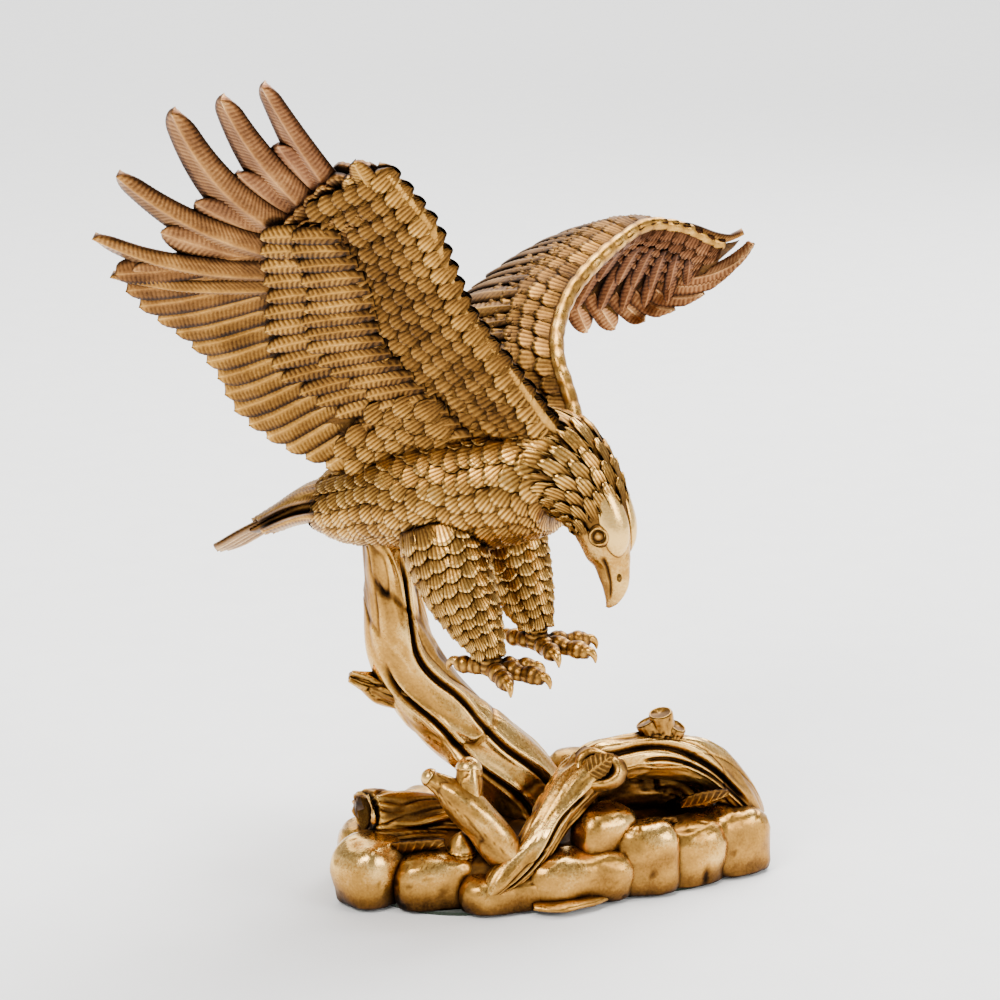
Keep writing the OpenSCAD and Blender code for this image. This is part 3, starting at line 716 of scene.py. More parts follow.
def addLeftCoverts(wing, blade, side, rng):
    for low, high, count, half, raised in leftWing["covertRows"]:
        for share in (np.arange(count) + 0.5) / count:
            s0 = blade.length * (0.02 + 0.74 * share)
            s1 = blade.length * (0.02 + 0.82 * share)
            base = np.array([s0, blade.depth(s0) * low])
            tip = np.array([s1, blade.depth(s1) * high]) + rng.uniform(-0.8, 0.8, 2)
            rose = 0.8 * blend(share, 0.4, 0.6) if side < 0 else 0.0
            addPlume(wing, blade.over(raised, side), base, halfway(base, tip), tip, half * (1 - 0.35 * share),
                     leftWing["covert"], rose=rose)
    size = leftWing["smallSize"]
    row, depth = 0, 1.5
    while depth < 30:
        for s in np.arange(2, blade.length * 0.8, size * 1.75) + (row % 2) * size * 0.87:
            if depth > blade.depth(s) * 0.38:
                continue
            tip = np.array([s + 1, depth + 5.5]) + rng.uniform(-0.4, 0.4, 2)
            rose = 0.8 * blend(s, 70, 95) if side < 0 else 0.0
            addScale(wing, blade.over(1.2, side), (s, depth - 4.0), tip, size, leftWing["small"],
                     worn=0.54 + rng.uniform(-0.12, 0.12), rose=rose)
        depth += size * 1.32
        row += 1


# Body, neck and head: forward, height, half width and half depth along each line

torsoLine = [
    (-66, 150, 9, 7), (-54, 154, 17, 14), (-38, 159, 22, 19), (-16, 166, 27, 24), (6, 171, 28, 26),
    (26, 176, 27, 25), (42, 181, 23, 23), (52, 181, 19, 20), (60, 177, 17, 17)]
neckLine = [
    (34, 181, 20, 20), (46, 183, 21, 21.5), (54, 180, 17.5, 18), (61, 174, 14, 15), (66, 167, 12, 12.5),
    (69, 159, 11, 11.5), (70.5, 152, 9, 9.5), (72, 146, 6, 7.5), (73, 139, 4.5, 6), (72, 133, 2.5, 3.5),
    (70, 129, 0.8, 0.8)]
tailLine = [
    (-50, 158, 14, 9), (-66, 154, 15, 7), (-80, 147, 17, 4), (-94, 139, 17, 3), (-105, 132, 13, 2.2),
    (-114, 128, 5, 1)]
# the legs' lines also say how far to the side
legLine = [
    (2, 17, 158, 12, 17), (7, 18, 146, 12.5, 16.5), (14, 19, 132, 11.5, 14), (21, 19, 120, 9, 10.5),
    (26, 19, 111, 6, 6.5), (28, 19, 103, 4, 4.5)]
torsoScales = dict(start=6, size=(8.6, 9.4), spacing=0.9, backward=1, flow=0.5, long=1.3, wide=0.55, step=0.7,
                   look=dict(worn=0.92, lift=1.6, dip=1.0))
headScales = dict(start=9, size=(9.2, 5.4), spacing=0.74, backward=1, flow=0.1, long=1.8, wide=0.54,
                  step=0.72, look=dict(worn=0.95, lift=1.4, dip=1.0, sharp=0.45, point=0.5, barbs=5))
legScales = dict(start=-2, size=(8.4, 5.8), spacing=0.9, backward=-1, flow=0.0, long=1.35, wide=0.58,
                 step=0.72, look=dict(worn=0.98, lift=1.5, dip=0.9))
# heights over the floor of places on the head
headHeights = dict(crown=161.5, eye=159.5, cheek=163, plumesEnd=156.5, gapeFrom=151, nostril=142, gapeTo=136)


def birdLimb(line):
    return Limb([list(onBird(f, 0, z)) + [w, h] for f, z, w, h in line], left)


# the ground between feathers, full of brown wax
darkSkin = lumpy((0.3, 3, 5), 0.12, sunk=0.6)


def buildTorso():
    torso = Casting()
    limb = birdLimb(torsoLine)

    def drawnIn(s):
        # where the neck plugs into the front
        return -8.5 * blend(s, limb.length - 14, limb.length - 1)

    def skin(s, turn, places):
        height, wear = darkSkin(s, turn, places)
        return height + drawnIn(s), wear + 0.2
    addLimb(torso, limb, 60, 48, skin)
    addScaleRows(torso, limb, dict(torsoScales, end=limb.length - 1), np.random.default_rng(31), drawnIn)
    torso.finish("Torso", "torso")


def headRelief(limb):
    gapeFrom, gapeTo = limb.where(headHeights["gapeFrom"]), limb.where(headHeights["gapeTo"])

    def relief(s, turn, places):
        # half turn from the crown to either side, the same on both sides
        side = abs(turnFrom(turn, quarterTurn))
        gape = near(side, 1.42, 0.11) * window(s, gapeFrom - 1, gapeFrom + 2, gapeTo, gapeTo + 5)
        lower = blend(side, 1.5, 1.7) * blend(s, gapeFrom, gapeFrom + 5)
        ridge = near(side, 0, 0.5) * blend(s, gapeFrom, gapeFrom + 4) * 0.7
        wear = 0.86 - 0.75 * gape - 0.15 * lower + 0.1 * grain(places, 4, 9)
        bare = blend(s, limb.where(168), limb.where(156))
        return -1.1 * gape - 0.7 * lower + ridge, clamp(wear * (0.45 + 0.55 * bare), hiddenWear)
    return relief


def crownProfile(r):
    return 2.3 * np.sqrt(clamp(1.02 - r ** 2)) - 0.5, 1 - 0.5 * blend(r, 0.9, 1)


def eyeProfile(r):
    # a lid round a ball
    ball = np.sqrt(clamp(0.16 - r ** 2)) / 0.4 * 1.2
    height = 0.6 + near(r, 0.62, 0.12) * 1.3 + ball - 1.6 * blend(r, 0.85, 1)
    return height, 0.25 + 0.6 * near(r, 0.62, 0.14) + 0.6 * near(r, 0, 0.25)


def nostrilProfile(r):
    return 0.25 - 0.9 * near(r, 0, 0.5), 0.1 + 0.8 * blend(r, 0.5, 1)


# what, how far down the side, half length, half width, radius there, profile, rings, spokes
headMounds = (("crown", 6.6, 13.0, 6.4, 11.0, crownProfile, 14, 36),
              ("eye", 14.0, 5.0, 4.8, 11.0, eyeProfile, 22, 36),
              ("nostril", 4.6, 1.5, 1.0, 6.0, nostrilProfile, 6, 16))


def buildHead():
    head = Casting()
    limb = birdLimb(neckLine)
    addLimb(head, limb, 130, 72, headRelief(limb))
    cheek = limb.where(headHeights["cheek"])

    def aroundEye(s, turn):
        # only the throat and cheek are feathered past the back of the eye
        return s > cheek and abs(turnFrom(turn, quarterTurn)) < 1.75
    addScaleRows(head, limb, dict(headScales, end=limb.where(headHeights["plumesEnd"])),
                 np.random.default_rng(37), lambda s: 0.1, aroundEye)
    for side in (1, -1):
        for what, down, halfLong, halfWide, radius, profile, rings, count in headMounds:
            r, turn = disc(rings, count)
            height, wear = profile(r)
            s = limb.where(headHeights[what]) + halfLong * r * np.cos(turn)
            b = down + halfWide * r * (1 + 0.12 * np.cos(turn)) * np.sin(turn)
            head.add(limb.at(s, quarterTurn + side * b / radius, height)[:, ::-1], clamp(wear))
    head.finish("HeadAndNeck", "head")


# offset to the side and reach of each tail feather, lowest first
tailFan = [(-16, 0.9), (16, 0.9), (-11.5, 0.95), (11.5, 0.95), (-6.5, 0.985), (6.5, 0.985), (0, 1.0)]
tailLooks = dict(
    fan=dict(barb=2.2, slant=1.1, thick=2.4, shaft=0.6, groove=0.28, tip=0.14, both=True, lift=0),
    covert=dict(tip=0.35, worn=0.7, shaft=0.2))


def buildTail():
    rng = np.random.default_rng(41)
    tail = Casting()
    limb = birdLimb(tailLine)
    addLimb(tail, limb, 30, 40, lumpy((0.3, 3, 5), 0.4, sunk=0.2), reach=0.6)
    for layer, (b, reach) in enumerate(tailFan):
        def fanSurface(a, q, h):
            return limb.flat(clamp(a, 0, limb.length), q, h + 0.45 * layer - 1.2)
        addPlume(tail, fanSurface, (4, b * 0.35), (30, b * 0.8), (limb.length * reach, b), 5.8,
                 tailLooks["fan"], roll=-0.5 * np.sign(b))
    for k in range(11):
        for side in (1, -1):
            def covertSurface(a, q, h):
                half = limb.read(limb.half, a)
                bulge = np.sqrt(clamp(1 - (q / (half[..., 0] + 2)) ** 2, 0.05, 1))
                return limb.flat(a, q, side * (half[..., 1] * bulge + 0.4 + h))
            b, s = (k - 5) * 3.3, 4 + 5 * (k % 2)
            tip = (s + 31 + rng.uniform(-2, 2), b * 1.1)
            addPlume(tail, covertSurface, (s, b * 0.8), (s + 12, b), tip, 4.1, tailLooks["covert"])
    tail.finish("Tail", "tail")


def legPlace(side, forward, outward, height):
    # the left leg reaches further forward at its top
    lead = 8 * (height - 104) / 54 if side > 0 else 0
    return onBird(forward + lead, side * outward, height)


def buildLeg(name, node, side):
    leg = Casting()
    limb = Limb([list(legPlace(side, f, l, z)) + [w, d] for f, l, z, w, d in legLine], left)
    addLimb(leg, limb, 40, 40, darkSkin)
    addScaleRows(leg, limb, dict(legScales, end=limb.length - 9), np.random.default_rng(43 + side))
    leg.finish(name, node)


# forward, sideways and drop of each toe's end, and the swellings along a toe
toeEnds = [(25, 0, -1), (17, 15, -1), (15, -11, -1), (-15, 2, 0)]
knuckles = [(0.0, 0, 3.9), (0.2, -0.4, 3.3), (0.4, 0.2, 4.1), (0.58, -0.4, 3.2), (0.76, -0.2, 3.9),
            (0.9, -0.8, 3.2), (0.98, -1.6, 2.2)]
# along the toe, height and radius
clawLine = [(0, 0, 2.2), (2.6, 0.3, 1.9), (4.4, -1.6, 1.3), (4.9, -4.2, 0.35)]
shankLine = [(5, 4.4, 4.6), (0, 4.6, 4.8), (-3.5, 4.4, 4.4), (-5.5, 2.2, 2.2)]


def scutes(pitch, depth):
    def relief(s, turn, places):
        band = abs(np.sin(s * math.pi / pitch))
        lump = grain(places, 3.0, 7)
        return depth * band ** 0.6 - depth + 0.25 * lump, 0.28 + 0.42 * band + 0.15 * lump
    return relief


def buildFoot(name, node, side):
    foot = Casting()
    ankle = legPlace(side, 28, 19, 104)
    shank = Limb([list(ankle + up * z) + [w, d] for z, w, d in shankLine], left)
    addLimb(foot, shank, 30, 28, scutes(2.6, 0.5))
    for f, l, drop in toeEnds:
        way = ahead * f + left * side * l
        toe = Limb([list(ankle + way * t + up * (z - 2)) + [r, r] for t, z, r in knuckles], up)
        addLimb(foot, toe, 52, 22, scutes(3.1, 0.28))
        end, along = ankle + way * 0.9 + up * (drop - 1.4), unit(way)
        claw = Limb([list(end + along * t + up * z) + [r, r] for t, z, r in clawLine], up)
        addLimb(foot, claw, 22, 16, lumpy((0.0, 1.0), 0.8))
    foot.finish(name, node)


# Driftwood: place, half width and half depth along each line

trunkLine = [
    (-4, 6, 14, 22, 20), (-13, 5, 34, 17, 16), (-27, 5, 50, 15, 14), (-41, 5, 63, 15, 14),
    (-53, 5, 77, 15, 14), (-62, 4, 95, 14, 13), (-66, 3, 116, 12, 12), (-67, 2, 133, 12, 12),
    (-68, 2, 158, 11, 11)]
stubLine = [(-50, 5, 72, 10, 9), (-62, 2, 76, 9, 7), (-73, -1, 80, 6, 5), (-84, -4, 85, 1.5, 1.5)]
logLine = [(-81, -23, 32, 9, 9), (-74, -22, 32, 10, 10), (-54, -20, 29, 10, 10), (-26, -16, 25, 9, 9)]
slabLine = [(-80, -30, 24, 3, 3), (-66, -31, 24, 6, 4), (-48, -30, 23, 6, 4), (-34, -30, 21, 3, 3)]
rootLine = [
    (-27, -53, 8, 6, 4), (-21, -49, 13, 9, 7), (-9, -42, 23, 8, 8), (3, -32, 38, 9, 9), (16, -22, 49, 11, 10),
    (30, -14, 53, 11, 10), (47, -6, 51, 11, 10), (65, 2, 43, 11, 10), (77, 6, 30, 10, 9), (84, 8, 17, 9, 8)]
rootWall = [(14, -10, 40, 9, 14), (30, 2, 34, 7, 18), (48, 10, 31, 7, 17), (68, 14, 24, 7, 14)]
branchLine = [
    (-13, -44, 17, 5, 5), (-19, -45, 23, 8, 8), (-27, -46, 34, 8, 8), (-37, -45, 45, 7.5, 7.5),
    (-44, -43, 51, 5, 5), (-50, -42, 55, 3.5, 3.5)]
prongLine = [(-34, -44, 41, 6, 6), (-34, -42, 51, 6, 6), (-34, -40, 58, 5, 5)]
sproutLines = [
    [(42, -9, 55, 5, 5), (42, -10, 61, 5, 5), (39, -10, 67, 3.5, 3.5)],
    [(45, -8, 56, 5, 5), (46, -9, 65, 5, 5), (45, -10, 71, 4, 4)],
    [(47, -7, 56, 5, 5), (50, -8, 61, 4.5, 4.5), (52, -9, 65, 3, 3)]]

# grooves: turn, drift, start, end, width, depth; knobs: where along, turn, length, width, rise
wood = dict(twist=0.012, across=1.25, along=48, swell=2.2, crease=0.5, creaseWidth=0.04, fine=0.6, worn=0.72,
            seed=3, grooves=(), knobs=())
trunkWood = dict(
    grooves=[(4.75, -0.5, 2, 105, 0.07, 2.6), (5.5, -0.3, 8, 150, 0.07, 2.4), (0.6, 0.5, 10, 140, 0.07, 2.4),
             (2.2, -0.4, 5, 120, 0.07, 2.4)],
    knobs=[(52, 4.1, 6, 0.25, 3.6)])
stubWood = dict(along=18, crease=1.3)
logWood = dict(twist=0.02, across=1.9, along=30, swell=1.0, crease=1.5, fine=0.5, seed=21, worn=0.62,
               creaseWidth=0.11)
rootWood = dict(
    twist=0.004, across=1.2, along=30, swell=1.9, crease=0.7, seed=41,
    knobs=[(74, 1.9, 7, 0.4, 2.2), (112, 2.1, 9, 0.35, 1.8), (30, 3.2, 8, 0.4, 1.6)],
    grooves=[(2.35, 0.45, 66, 150, 0.11, 2.6), (3.0, -0.1, 84, 152, 0.06, 1.8), (3.4, 0.0, 4, 60, 0.08, 1.8),
             (4.0, 0.2, 10, 56, 0.07, 1.6), (1.2, 0.2, 20, 140, 0.09, 2.4)])
wallWood = dict(rootWood, grooves=(), across=2.2, along=22, crease=1.8, fine=0.7, worn=0.5, seed=51)
branchWood = dict(twist=0.03, across=0.9, along=30, swell=1.1, crease=0.35, creaseWidth=0.02, fine=0.25,
                  worn=0.76, seed=61)
sproutWood = dict(twist=0.0, across=1.6, along=10, swell=0.7, crease=0.9, fine=0.5, seed=71, worn=0.6)


def woodRelief(changes):
    # long flowing creases, warped ridges and small pits
    look = wood | changes
    seed, crease, creaseWidth = look["seed"], look["crease"], look["creaseWidth"]

    def relief(s, turn, places):
        twist = turn + look["twist"] * s
        across = look["across"]
        flow = np.stack([np.cos(twist) * across, np.sin(twist) * across, s / look["along"]], -1)
        flow = flow + 0.35 * grain(places, 22, seed + 3, 2)[..., None]
        folds = grain(flow, 1.0, seed, 2)
        fine = grain(flow * np.array([3.2, 3.2, 1.6]), 1.0, seed + 5, 3)
        cracks = near(folds, 0.0, creaseWidth)
        deep = near(grain(flow * 0.6 + 31, 1.0, seed + 9, 1), 0.05, creaseWidth * 0.7)
        height = look["swell"] * folds - crease * cracks - crease * 1.2 * deep + look["fine"] * fine
        wear = look["worn"] + 0.3 * folds - 0.3 * cracks - 0.3 * deep + 0.3 * fine
        for middle, drift, start, end, width, depth in look["grooves"]:
            # a cut groove runs along the limb while its turn drifts, between two raised lips
            share = (s - start) / (end - start)
            off = turnFrom(turn, middle + drift * share + 0.12 * np.sin(s / 9))
            runs = window(share, 0, 0.12, 0.85, 1)
            cut, lips = near(off, 0, width) * runs, near(abs(off), width * 2.2, width) * runs
            height = height - depth * cut + depth * 0.35 * lips
            wear = wear - 0.7 * cut + 0.2 * lips
        for at, middle, long, wide, rise in look["knobs"]:
            lump = near(s, at, long) * near(turnFrom(turn, middle), 0, wide)
            height = height + rise * lump
            wear = wear + 0.2 * lump
        return height, clamp(wear, 0.03)
    return relief


def discGrain(r, turn, reach, *noise):
    return grain(np.stack([r * np.cos(turn) * reach, r * np.sin(turn) * reach, r * 0], -1), *noise)


def buildTrunk():
    trunk = Casting()
    addLimb(trunk, Limb(trunkLine, sideways), 330, 190, woodRelief(trunkWood))
    addLimb(trunk, Limb(stubLine, inward), 90, 70, woodRelief(stubWood))
    trunk.finish("Trunk", "trunk")


def buildLog():
    log = Casting()
    limb = Limb(logLine, inward)
    bark = woodRelief(logWood)

    def broken(s, turn):
        # the break slants, so its face turns to the display side
        return s + 8 * (0.5 - 0.5 * np.cos(turn)) * clamp(1 - s / 36)
    s, turn = table(np.linspace(0, limb.length, 170), spokes(120))
    places = limb.at(s, turn)
    height, wear = bark(s, turn, places)
    height = height - 1.6 * (1 - blend(s, 0, 2.5)) * (1 + grain(places, 4, 2))
    log.add(limb.at(broken(s, turn), turn, height), clamp(wear + 0.3 * near(s, 3, 2)))
    # rough rings on the broken face, hollow in the middle
    r, turn = disc(26, 64)
    rough = discGrain(r, turn, 6, 1.6, 4)
    sunk = 1.4 * (1 - r ** 2) - 1.5 * rough - 1.0 * near(r, 0.85, 0.1) - 0.8
    rim = limb.at(broken(0 * r, turn), turn, -0.6 + 0.6 * rough)
    middle = limb.at(broken(np.zeros(1), np.full(1, quarterTurn)), np.zeros(1), -9.0)[0]
    log.add(within(middle, (rim - middle, r), (limb.way[0], sunk)),
            clamp(0.8 + 0.6 * rough - 0.5 * near(r, 0.72, 0.12) + 0.3 * near(r, 0.95, 0.08)))
    # ragged bark along the log's foot
    addLimb(log, Limb(slabLine, inward), 90, 60, bark)
    log.finish("FallenLog", "fallen_log")


knotHole = dict(centre=(18.5, -30.5, 54.5), normal=(-0.1, -0.85, 0.5), radius=10.5)


def addKnot(casting):
    # rolled lip round a dark hollow
    normal = unit(knotHole["normal"])
    right = unit(np.cross(up, normal))
    r, turn = disc(30, 56)
    rough = discGrain(r, turn, 3, 1.0, 77, 2)
    height = 1.3 * near(r, 0.7, 0.2) - 2.4 * (1 - blend(r, 0.3, 0.6)) - 2.4 * blend(r, 0.78, 1) + 0.7 * rough
    lumps = r * knotHole["radius"] * (1 + 0.12 * np.cos(2 * turn + 0.6) + 0.06 * np.cos(3 * turn))
    grid = within(np.array(knotHole["centre"]), (right, lumps * np.cos(turn)),
                  (np.cross(normal, right), lumps * np.sin(turn)), (normal, height))
    casting.add(grid, clamp(0.12 + 0.68 * near(r, 0.76, 0.2) + 0.2 * rough))


def buildRoot():
    root = Casting()
    addLimb(root, Limb(rootLine, inward), 300, 150, woodRelief(rootWood))
    addLimb(root, Limb(rootWall, (-0.3, 1, 0)), 150, 110, woodRelief(wallWood))
    addKnot(root)
    root.finish("ArchedRoot", "arched_root")


def buildBranch():
    branch = Casting()
    figure = woodRelief(branchWood)

    def smoothRelief(s, turn, places):
        lump = grain(places, 11, 61, 2)
        height, wear = figure(s, turn, places)
        return height + 0.9 * lump, wear + 0.1 * lump
    for line in (branchLine, prongLine):
        limb = Limb(line, inward)
        addLimb(branch, limb, 110, 64, smoothRelief)
        # rounded end
        wide, deep = limb.half[-1] + 0.5
        t, turn = table(np.linspace(0, quarterTurn * 0.98, 12), spokes(40))
        branch.add(within(limb.centre[-1], (limb.way[-1], (wide - 0.1) * np.sin(t) - 0.5),
                          (limb.across[-1], wide * np.cos(t) * np.cos(turn)),
                          (limb.over[-1], deep * np.cos(t) * np.sin(turn))), 0.9)
    branch.finish("ForkedBranch", "forked_branch")


def buildSprout():
    sprout = Casting()
    bark = woodRelief(sproutWood)
    for line in sproutLines:
        limb = Limb(line, inward)

        def relief(s, turn, places):
            height, wear = bark(s, turn, places)
            return height + 0.9 * blend(s, limb.length * 0.7, limb.length), wear
        addLimb(sprout, limb, 60, 44, relief)
        # hollow broken end
        r, turn = disc(14, 40)
        half = r * (limb.half[-1][0] + 0.8)
        grid = within(limb.centre[-1], (limb.way[-1], -1.4 * (1 - r ** 2) + 0.8 * near(r, 0.9, 0.12)),
                      (limb.across[-1], half * np.cos(turn)), (limb.over[-1], half * np.sin(turn)))
        sprout.add(grid[:, ::-1], clamp(0.1 + 0.8 * near(r, 0.92, 0.15)))
    sprout.finish("RootSprout", "root_sprout")


# piece, node, stem, point, direction across, half width, cup
leaves = [
    ("KnotLeaf", "knot_leaf", (13, -32.5, 52), (25, -29, 60), (-0.4, 0.3, 0.8), 5.0, 1.0),
    ("UpperLeaf", "upper_leaf", (54, -11, 31), (74, -9, 36), (0, -0.6, 0.8), 6.4, 2.0),
    ("LowerLeaf", "lower_leaf", (30, -25, 25), (52, -19, 28), (0, -0.7, 0.7), 6.4, 2.0),
    ("RockLeaf", "rock_leaf", (-68, -39, 22), (-44, -43, 27), (0, -0.7, 0.7), 7.2, 3.2)]


def buildLeaf(name, node, stem, point, side, half, cup):
    # pointed leaf with a midrib and side veins, cupped along its length
    leaf = Casting()
    stem, side = np.array(stem, float), np.array(side, float)
    way = point - stem
    across = unit(side - unit(way) * (unit(way) @ side))
    out = np.cross(unit(way), across)
    out = out if out[1] < 0 else -out
    v, u = table(np.linspace(0, 1, 49), np.linspace(-1, 1, 25))
    off = abs(u)
    width = half * np.sin(math.pi * clamp(v, 0.01, 0.99) ** 0.8) ** 0.75 * (1 + 0.05 * np.sin(v * 44) * off)
    vein = clamp(np.cos((v - 0.16 * off) * fullTurn * 7)) ** 4 * (1 - off ** 3) * blend(off, 0.03, 0.12)
    rib = near(u, 0, 0.07)
    height = 0.5 * rib + 0.35 * vein - cup * (u ** 2) * 0.6 + cup * 0.6 * np.sin(math.pi * v) + 0.9
    top = within(stem, (way, v), (across, u * width), (out, height))
    wear = 0.32 + 0.55 * vein + 0.5 * rib + 0.2 * blend(off, 0.85, 1)
    leaf.add(shell(top, top - out * 1.3), clamp(shell(wear, np.full(wear.shape, 0.1))))
    leaf.finish(name, node)


acornLine = [(-37, -40, 18, 5, 5), (-37, -41, 23, 6, 6), (-37, -41.5, 27, 5, 5), (-37, -42, 30, 2.6, 2.6),
             (-37, -42, 31.5, 0.5, 0.5)]


def buildAcorn():
    acorn = Casting()

    def relief(s, turn, places):
        cup = 1 - blend(s, 6, 6.8)
        net = np.sin(turn * 9 + s * 2) * np.sin(turn * 9 - s * 2)
        return 0.5 * cup + 0.35 * net * cup, 0.55 + 0.3 * net * cup + 0.2 * (1 - cup)
    addLimb(acorn, Limb(acornLine, sideways), 60, 60, relief)
    acorn.finish("Acorn", "acorn")


# Ring of rocks

baseOval = dict(halfLong=93, halfWide=53, turn=math.radians(17), foot=1.5)
# centre, half sizes and turn of each rock on the display side
frontRocks = [
    ((-73, -36, 10), (17, 14, 17), 0.9), ((-47, -42, 8), (19, 12, 16), 0.2),
    ((9, -37, 9), (24, 13, 13), 0.25), ((21, -28, 22), (14, 10, 15), 0.7),
    ((38, -27, 12), (15, 12, 18), 0.3), ((57, -16, 11), (15, 12, 17), 0.4),
    ((77, -5, 11), (15, 12, 17), 0.5), ((-20, -45, 6), (20, 12, 10), 0.3)]
boulderLine = [(10, 25, 8, 20, 16), (10, 25, 24, 18, 15), (9, 24, 36, 14, 11), (8, 24, 42, 7, 5),
               (8, 24, 43, 1, 1)]
ledgeLine = [(-8, -53, 3.5, 3, 1.8), (2, -52, 3.5, 6, 2.0), (14, -47, 3.5, 5, 2.0), (22, -42, 3.5, 3, 1.8)]
# inset and height of each ring of the hollow body, from the roof of the hollow round to the top
bodyRings = [(90, 19.0), (46, 19.0), (36, 19.0), (24, 19.0), (24, 1.5), (9, 1.5), (6, 6), (7, 13), (11, 19),
             (18, 23), (26, 25), (34, 25.5), (42, 25.5), (50, 25.5), (90, 25.5)]


def ovalPlace(turn, inset):
    return rotated(max(baseOval["halfLong"] - inset, 1.0) * np.cos(turn),
                   max(baseOval["halfWide"] - inset, 0.6) * np.sin(turn), baseOval["turn"])


def soften(x, power):
    return np.sign(x) * abs(x) ** power


def addRock(casting, centre, half, turn, seed):
    # squarish boulder with soft dents, flat where it stands
    rise, spin = table(np.linspace(-quarterTurn * 0.98, quarterTurn * 0.98, 46), spokes(72))
    x = soften(np.cos(rise), 0.6) * soften(np.cos(spin), 0.72) * half[0]
    y = soften(np.cos(rise), 0.6) * soften(np.sin(spin), 0.72) * half[1]
    places = np.stack([*rotated(x, y, turn), soften(np.sin(rise), 0.72) * half[2]], -1) + centre
    broad, dent = grain(places, 16, seed, 2), grain(places, 6, seed + 50, 2)
    pit = clamp(grain(places, 3.2, seed + 90, 1) - 0.62)
    outward = unit(places - centre)
    # worn chisel faces: broad steps in the swell of the stone
    facet = np.floor(broad * 3.2 + 0.5) / 3.2
    places = places + outward * (1.5 * broad + 0.9 * facet + 0.45 * dent - 1.8 * pit)[..., None]
    places[..., 2] = np.maximum(places[..., 2], baseOval["foot"])
    # painted light: faces turned upwards are made lighter as a painted top light, and the lower flanks darker
    # towards the floor as painted shade
    wear = 0.7 + 0.22 * broad + 0.12 * dent - 1.2 * pit + 0.12 * blend(outward[..., 2], 0.2, 0.8)
    casting.add(places, clamp(wear - 0.4 * (1 - blend(places[..., 2], 2, 11)), 0.05))


def fillRings(rings, steps):
    # more rings between those given, along straight lines, so edges stay where they are
    t = np.linspace(0, 1, steps, endpoint=False)[:, None, None]
    return np.concatenate([a * (1 - t) + b * t for a, b in zip(rings, rings[1:])] + [rings[-1:]])


def buildBase():
    rng = np.random.default_rng(67)
    base = Casting()
    for k, (centre, half, turn) in enumerate(frontRocks):
        addRock(base, centre, half, turn, 100 + k)
    # the rocks at the sides and the back, one after another round the oval
    angle, k = -0.10, 0
    while angle < math.pi + 0.05:
        x, y = ovalPlace(angle, 13)
        size = rng.uniform(0.9, 1.12)
        addRock(base, (x, y, 11 + rng.uniform(-1, 1)), (12.5 * size, 13 * size, 16 * rng.uniform(0.9, 1.05)),
                math.atan2(y, x) + rng.uniform(-0.3, 0.3), 200 + k)
        angle += 23.5 * size / math.hypot(80 * math.sin(angle), 40 * math.cos(angle))
        k += 1
    addLimb(base, Limb(boulderLine, sideways), 60, 72, lumpy((1.2, 14, 300, 2), 0.8, (0.15, 9, 301)))
    # body of the base under the rocks, hollow from below, with litter between the rocks on top
    turn = spokes(220)
    grid = fillRings(np.array([np.stack([*ovalPlace(turn, inset), np.full(len(turn), z)], -1)
                               for inset, z in bodyRings]), 5)
    lump = grain(grid, 9, 310, 4)
    grid[..., 2] += blend(grid[..., 2], 19.5, 24) * 1.8 * lump
    base.add(grid, clamp(0.25 + 0.45 * lump, 0.05))
    # low ledge at the front edge
    addLimb(base, Limb(ledgeLine, inward), 50, 40, lumpy((0.5, 6, 320), 0.7, (0.2, 5, 321)))
    base.finish("RockBase", "rock_base")


buildRightWing()
buildLeftWing()
buildTorso()
buildHead()
buildTail()
buildLeg("LeftLeg", "left_leg", 1)
buildLeg("RightLeg", "right_leg", -1)
buildFoot("LeftFoot", "left_foot", 1)
buildFoot("RightFoot", "right_foot", -1)
buildTrunk()
buildLog()
buildRoot()
buildBranch()
buildSprout()
for leafSettings in leaves:
    buildLeaf(*leafSettings)
buildAcorn()
buildBase()
print("castings done")

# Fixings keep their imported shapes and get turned-metal finishes
pinBronze = turnedMetal("turnedBronzePin", ("#8a6433", "#b58a4e"), 0.35, 0.6)
zincSteel = turnedMetal("zincPlatedSteel", ("#9b9fa4", "#c3c6ca"), 0.3, 0.8)
plateSteel = turnedMetal("groundSteelPlate", ("#74777b", "#989b9f"), 0.42, 1.2)
fixings = dict(felt_pad=woolFelt(), base_plate=plateSteel, plate_screws=zincSteel, trunk_rod=zincSteel,
               rod_washer=zincSteel, rod_nut=zincSteel)
for pin in ("body_pin", "log_pin", "root_pins", "neck_pin", "wing_pins", "tail_pin", "leg_pins",
            "foot_pins"):
    fixings[pin] = pinBronze
for node, finish in fixings.items():
    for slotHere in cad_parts[node].material_slots:
        slotHere.material = finish
print("fixings finished")


# Floor, lights and camera

studio = dict(
    floorHalf=8.0, floorSteps=16, worldStrength=1.3, paper=[(0.3, "#f8f8f7"), (0.7, "#fbfbfa")],
    sky=[(0.0, "#ffffff"), (0.2, "#fafafa"), (0.5, "#a2a2a2"), (1.0, "#787878")],
    lights=[
        # name, place, what it points at, size, power, colour
        ("KeySoftbox", (-1.1, -1.3, 1.7), (-0.02, 0, 0.15), 0.9, 42, (1.0, 0.97, 0.93)),
        ("FillSoftbox", (1.5, -0.9, 0.9), (-0.02, 0, 0.15), 0.8, 20, (1.0, 0.98, 0.96)),
        ("TopSoftbox", (0.1, 0.2, 1.9), (-0.02, 0, 0.15), 1.1, 48, (1, 1, 1)),
        ("RimSoftbox", (0.9, 1.4, 1.3), (-0.02, 0, 0.15), 0.8, 24, (1, 1, 1)),
        ("BackSoftbox", (0, 4.2, 3.4), (0, 4.2, 0), 6.0, 420, (1, 1, 1))],
    camera=dict(place=(-0.02142, -1.09815, 0.45409), aim=(-0.02142, 0.02876, 0.15213), lens=100, sensor=36))


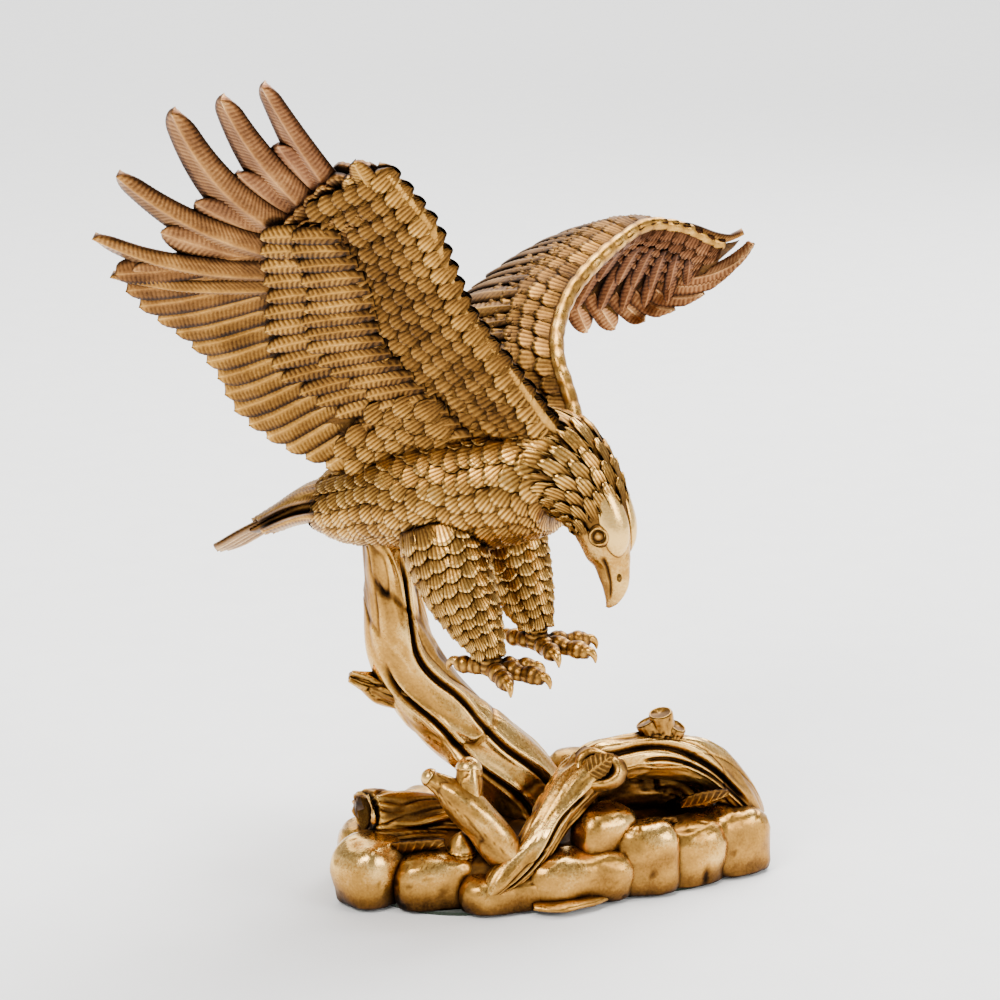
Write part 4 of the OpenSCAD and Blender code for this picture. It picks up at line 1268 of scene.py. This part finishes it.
def studioPaper():
    # plain pale studio paper
    material, tree = newMaterial("studioPaper")
    fibre = addNoise(tree, addNode(tree, "TexCoord", out="Object"), 25, 3)
    addShader(tree, {"Roughness": 0.9, "Specular IOR Level": 0.1},
              Base_Color=addRamp(tree, studio["paper"], fibre))
    return material


def aim(name, data, place, target):
    # a light or camera put at a place and pointed at a target
    thing = bpy.data.objects.new(name, data)
    thing.location = place
    thing.rotation_euler = (Vector(target) - Vector(place)).to_track_quat("-Z", "Y").to_euler()
    bpy.context.scene.collection.objects.link(thing)
    return thing


def buildStudio():
    mesh = bpy.data.meshes.new("Floor")
    steps = studio["floorSteps"]
    line = np.linspace(-studio["floorHalf"], studio["floorHalf"], steps + 1)
    x, y = table(line, line)
    index = np.arange((steps + 1) ** 2).reshape(steps + 1, steps + 1)
    faces = np.stack([index[:-1, :-1], index[1:, :-1], index[1:, 1:], index[:-1, 1:]], -1).reshape(-1, 4)
    mesh.from_pydata(np.stack([x, y, 0 * x], -1).reshape(-1, 3).tolist(), [], faces.tolist())
    floor = bpy.data.objects.new("Floor", mesh)
    mesh.materials.append(studioPaper())
    bpy.context.scene.collection.objects.link(floor)
    for name, place, target, size, power, colour in studio["lights"]:
        light = bpy.data.lights.new(name, "AREA")
        light.shape = "SQUARE"
        light.size = size
        light.energy = power
        light.color = colour
        aim(name, light, place, target)
    world = bpy.data.worlds.new("PaleStudio")
    bpy.context.scene.world = world
    world.use_nodes = True
    tree = world.node_tree
    tree.nodes.clear()
    rise = addNode(tree, "SeparateXYZ", out="Z", Vector=addNode(tree, "TexCoord", out="Generated"))
    background = addNode(tree, "Background", {"Strength": studio["worldStrength"]},
                         Color=addRamp(tree, studio["sky"], rise))
    addNode(tree, "OutputWorld", Surface=background)


def buildCamera():
    settings = studio["camera"]
    data = bpy.data.cameras.new("DisplayCamera")
    data.lens = settings["lens"]
    data.sensor_width = settings["sensor"]
    bpy.context.scene.camera = aim("DisplayCamera", data, settings["place"], settings["aim"])


buildStudio()
buildCamera()
print("studio ready")
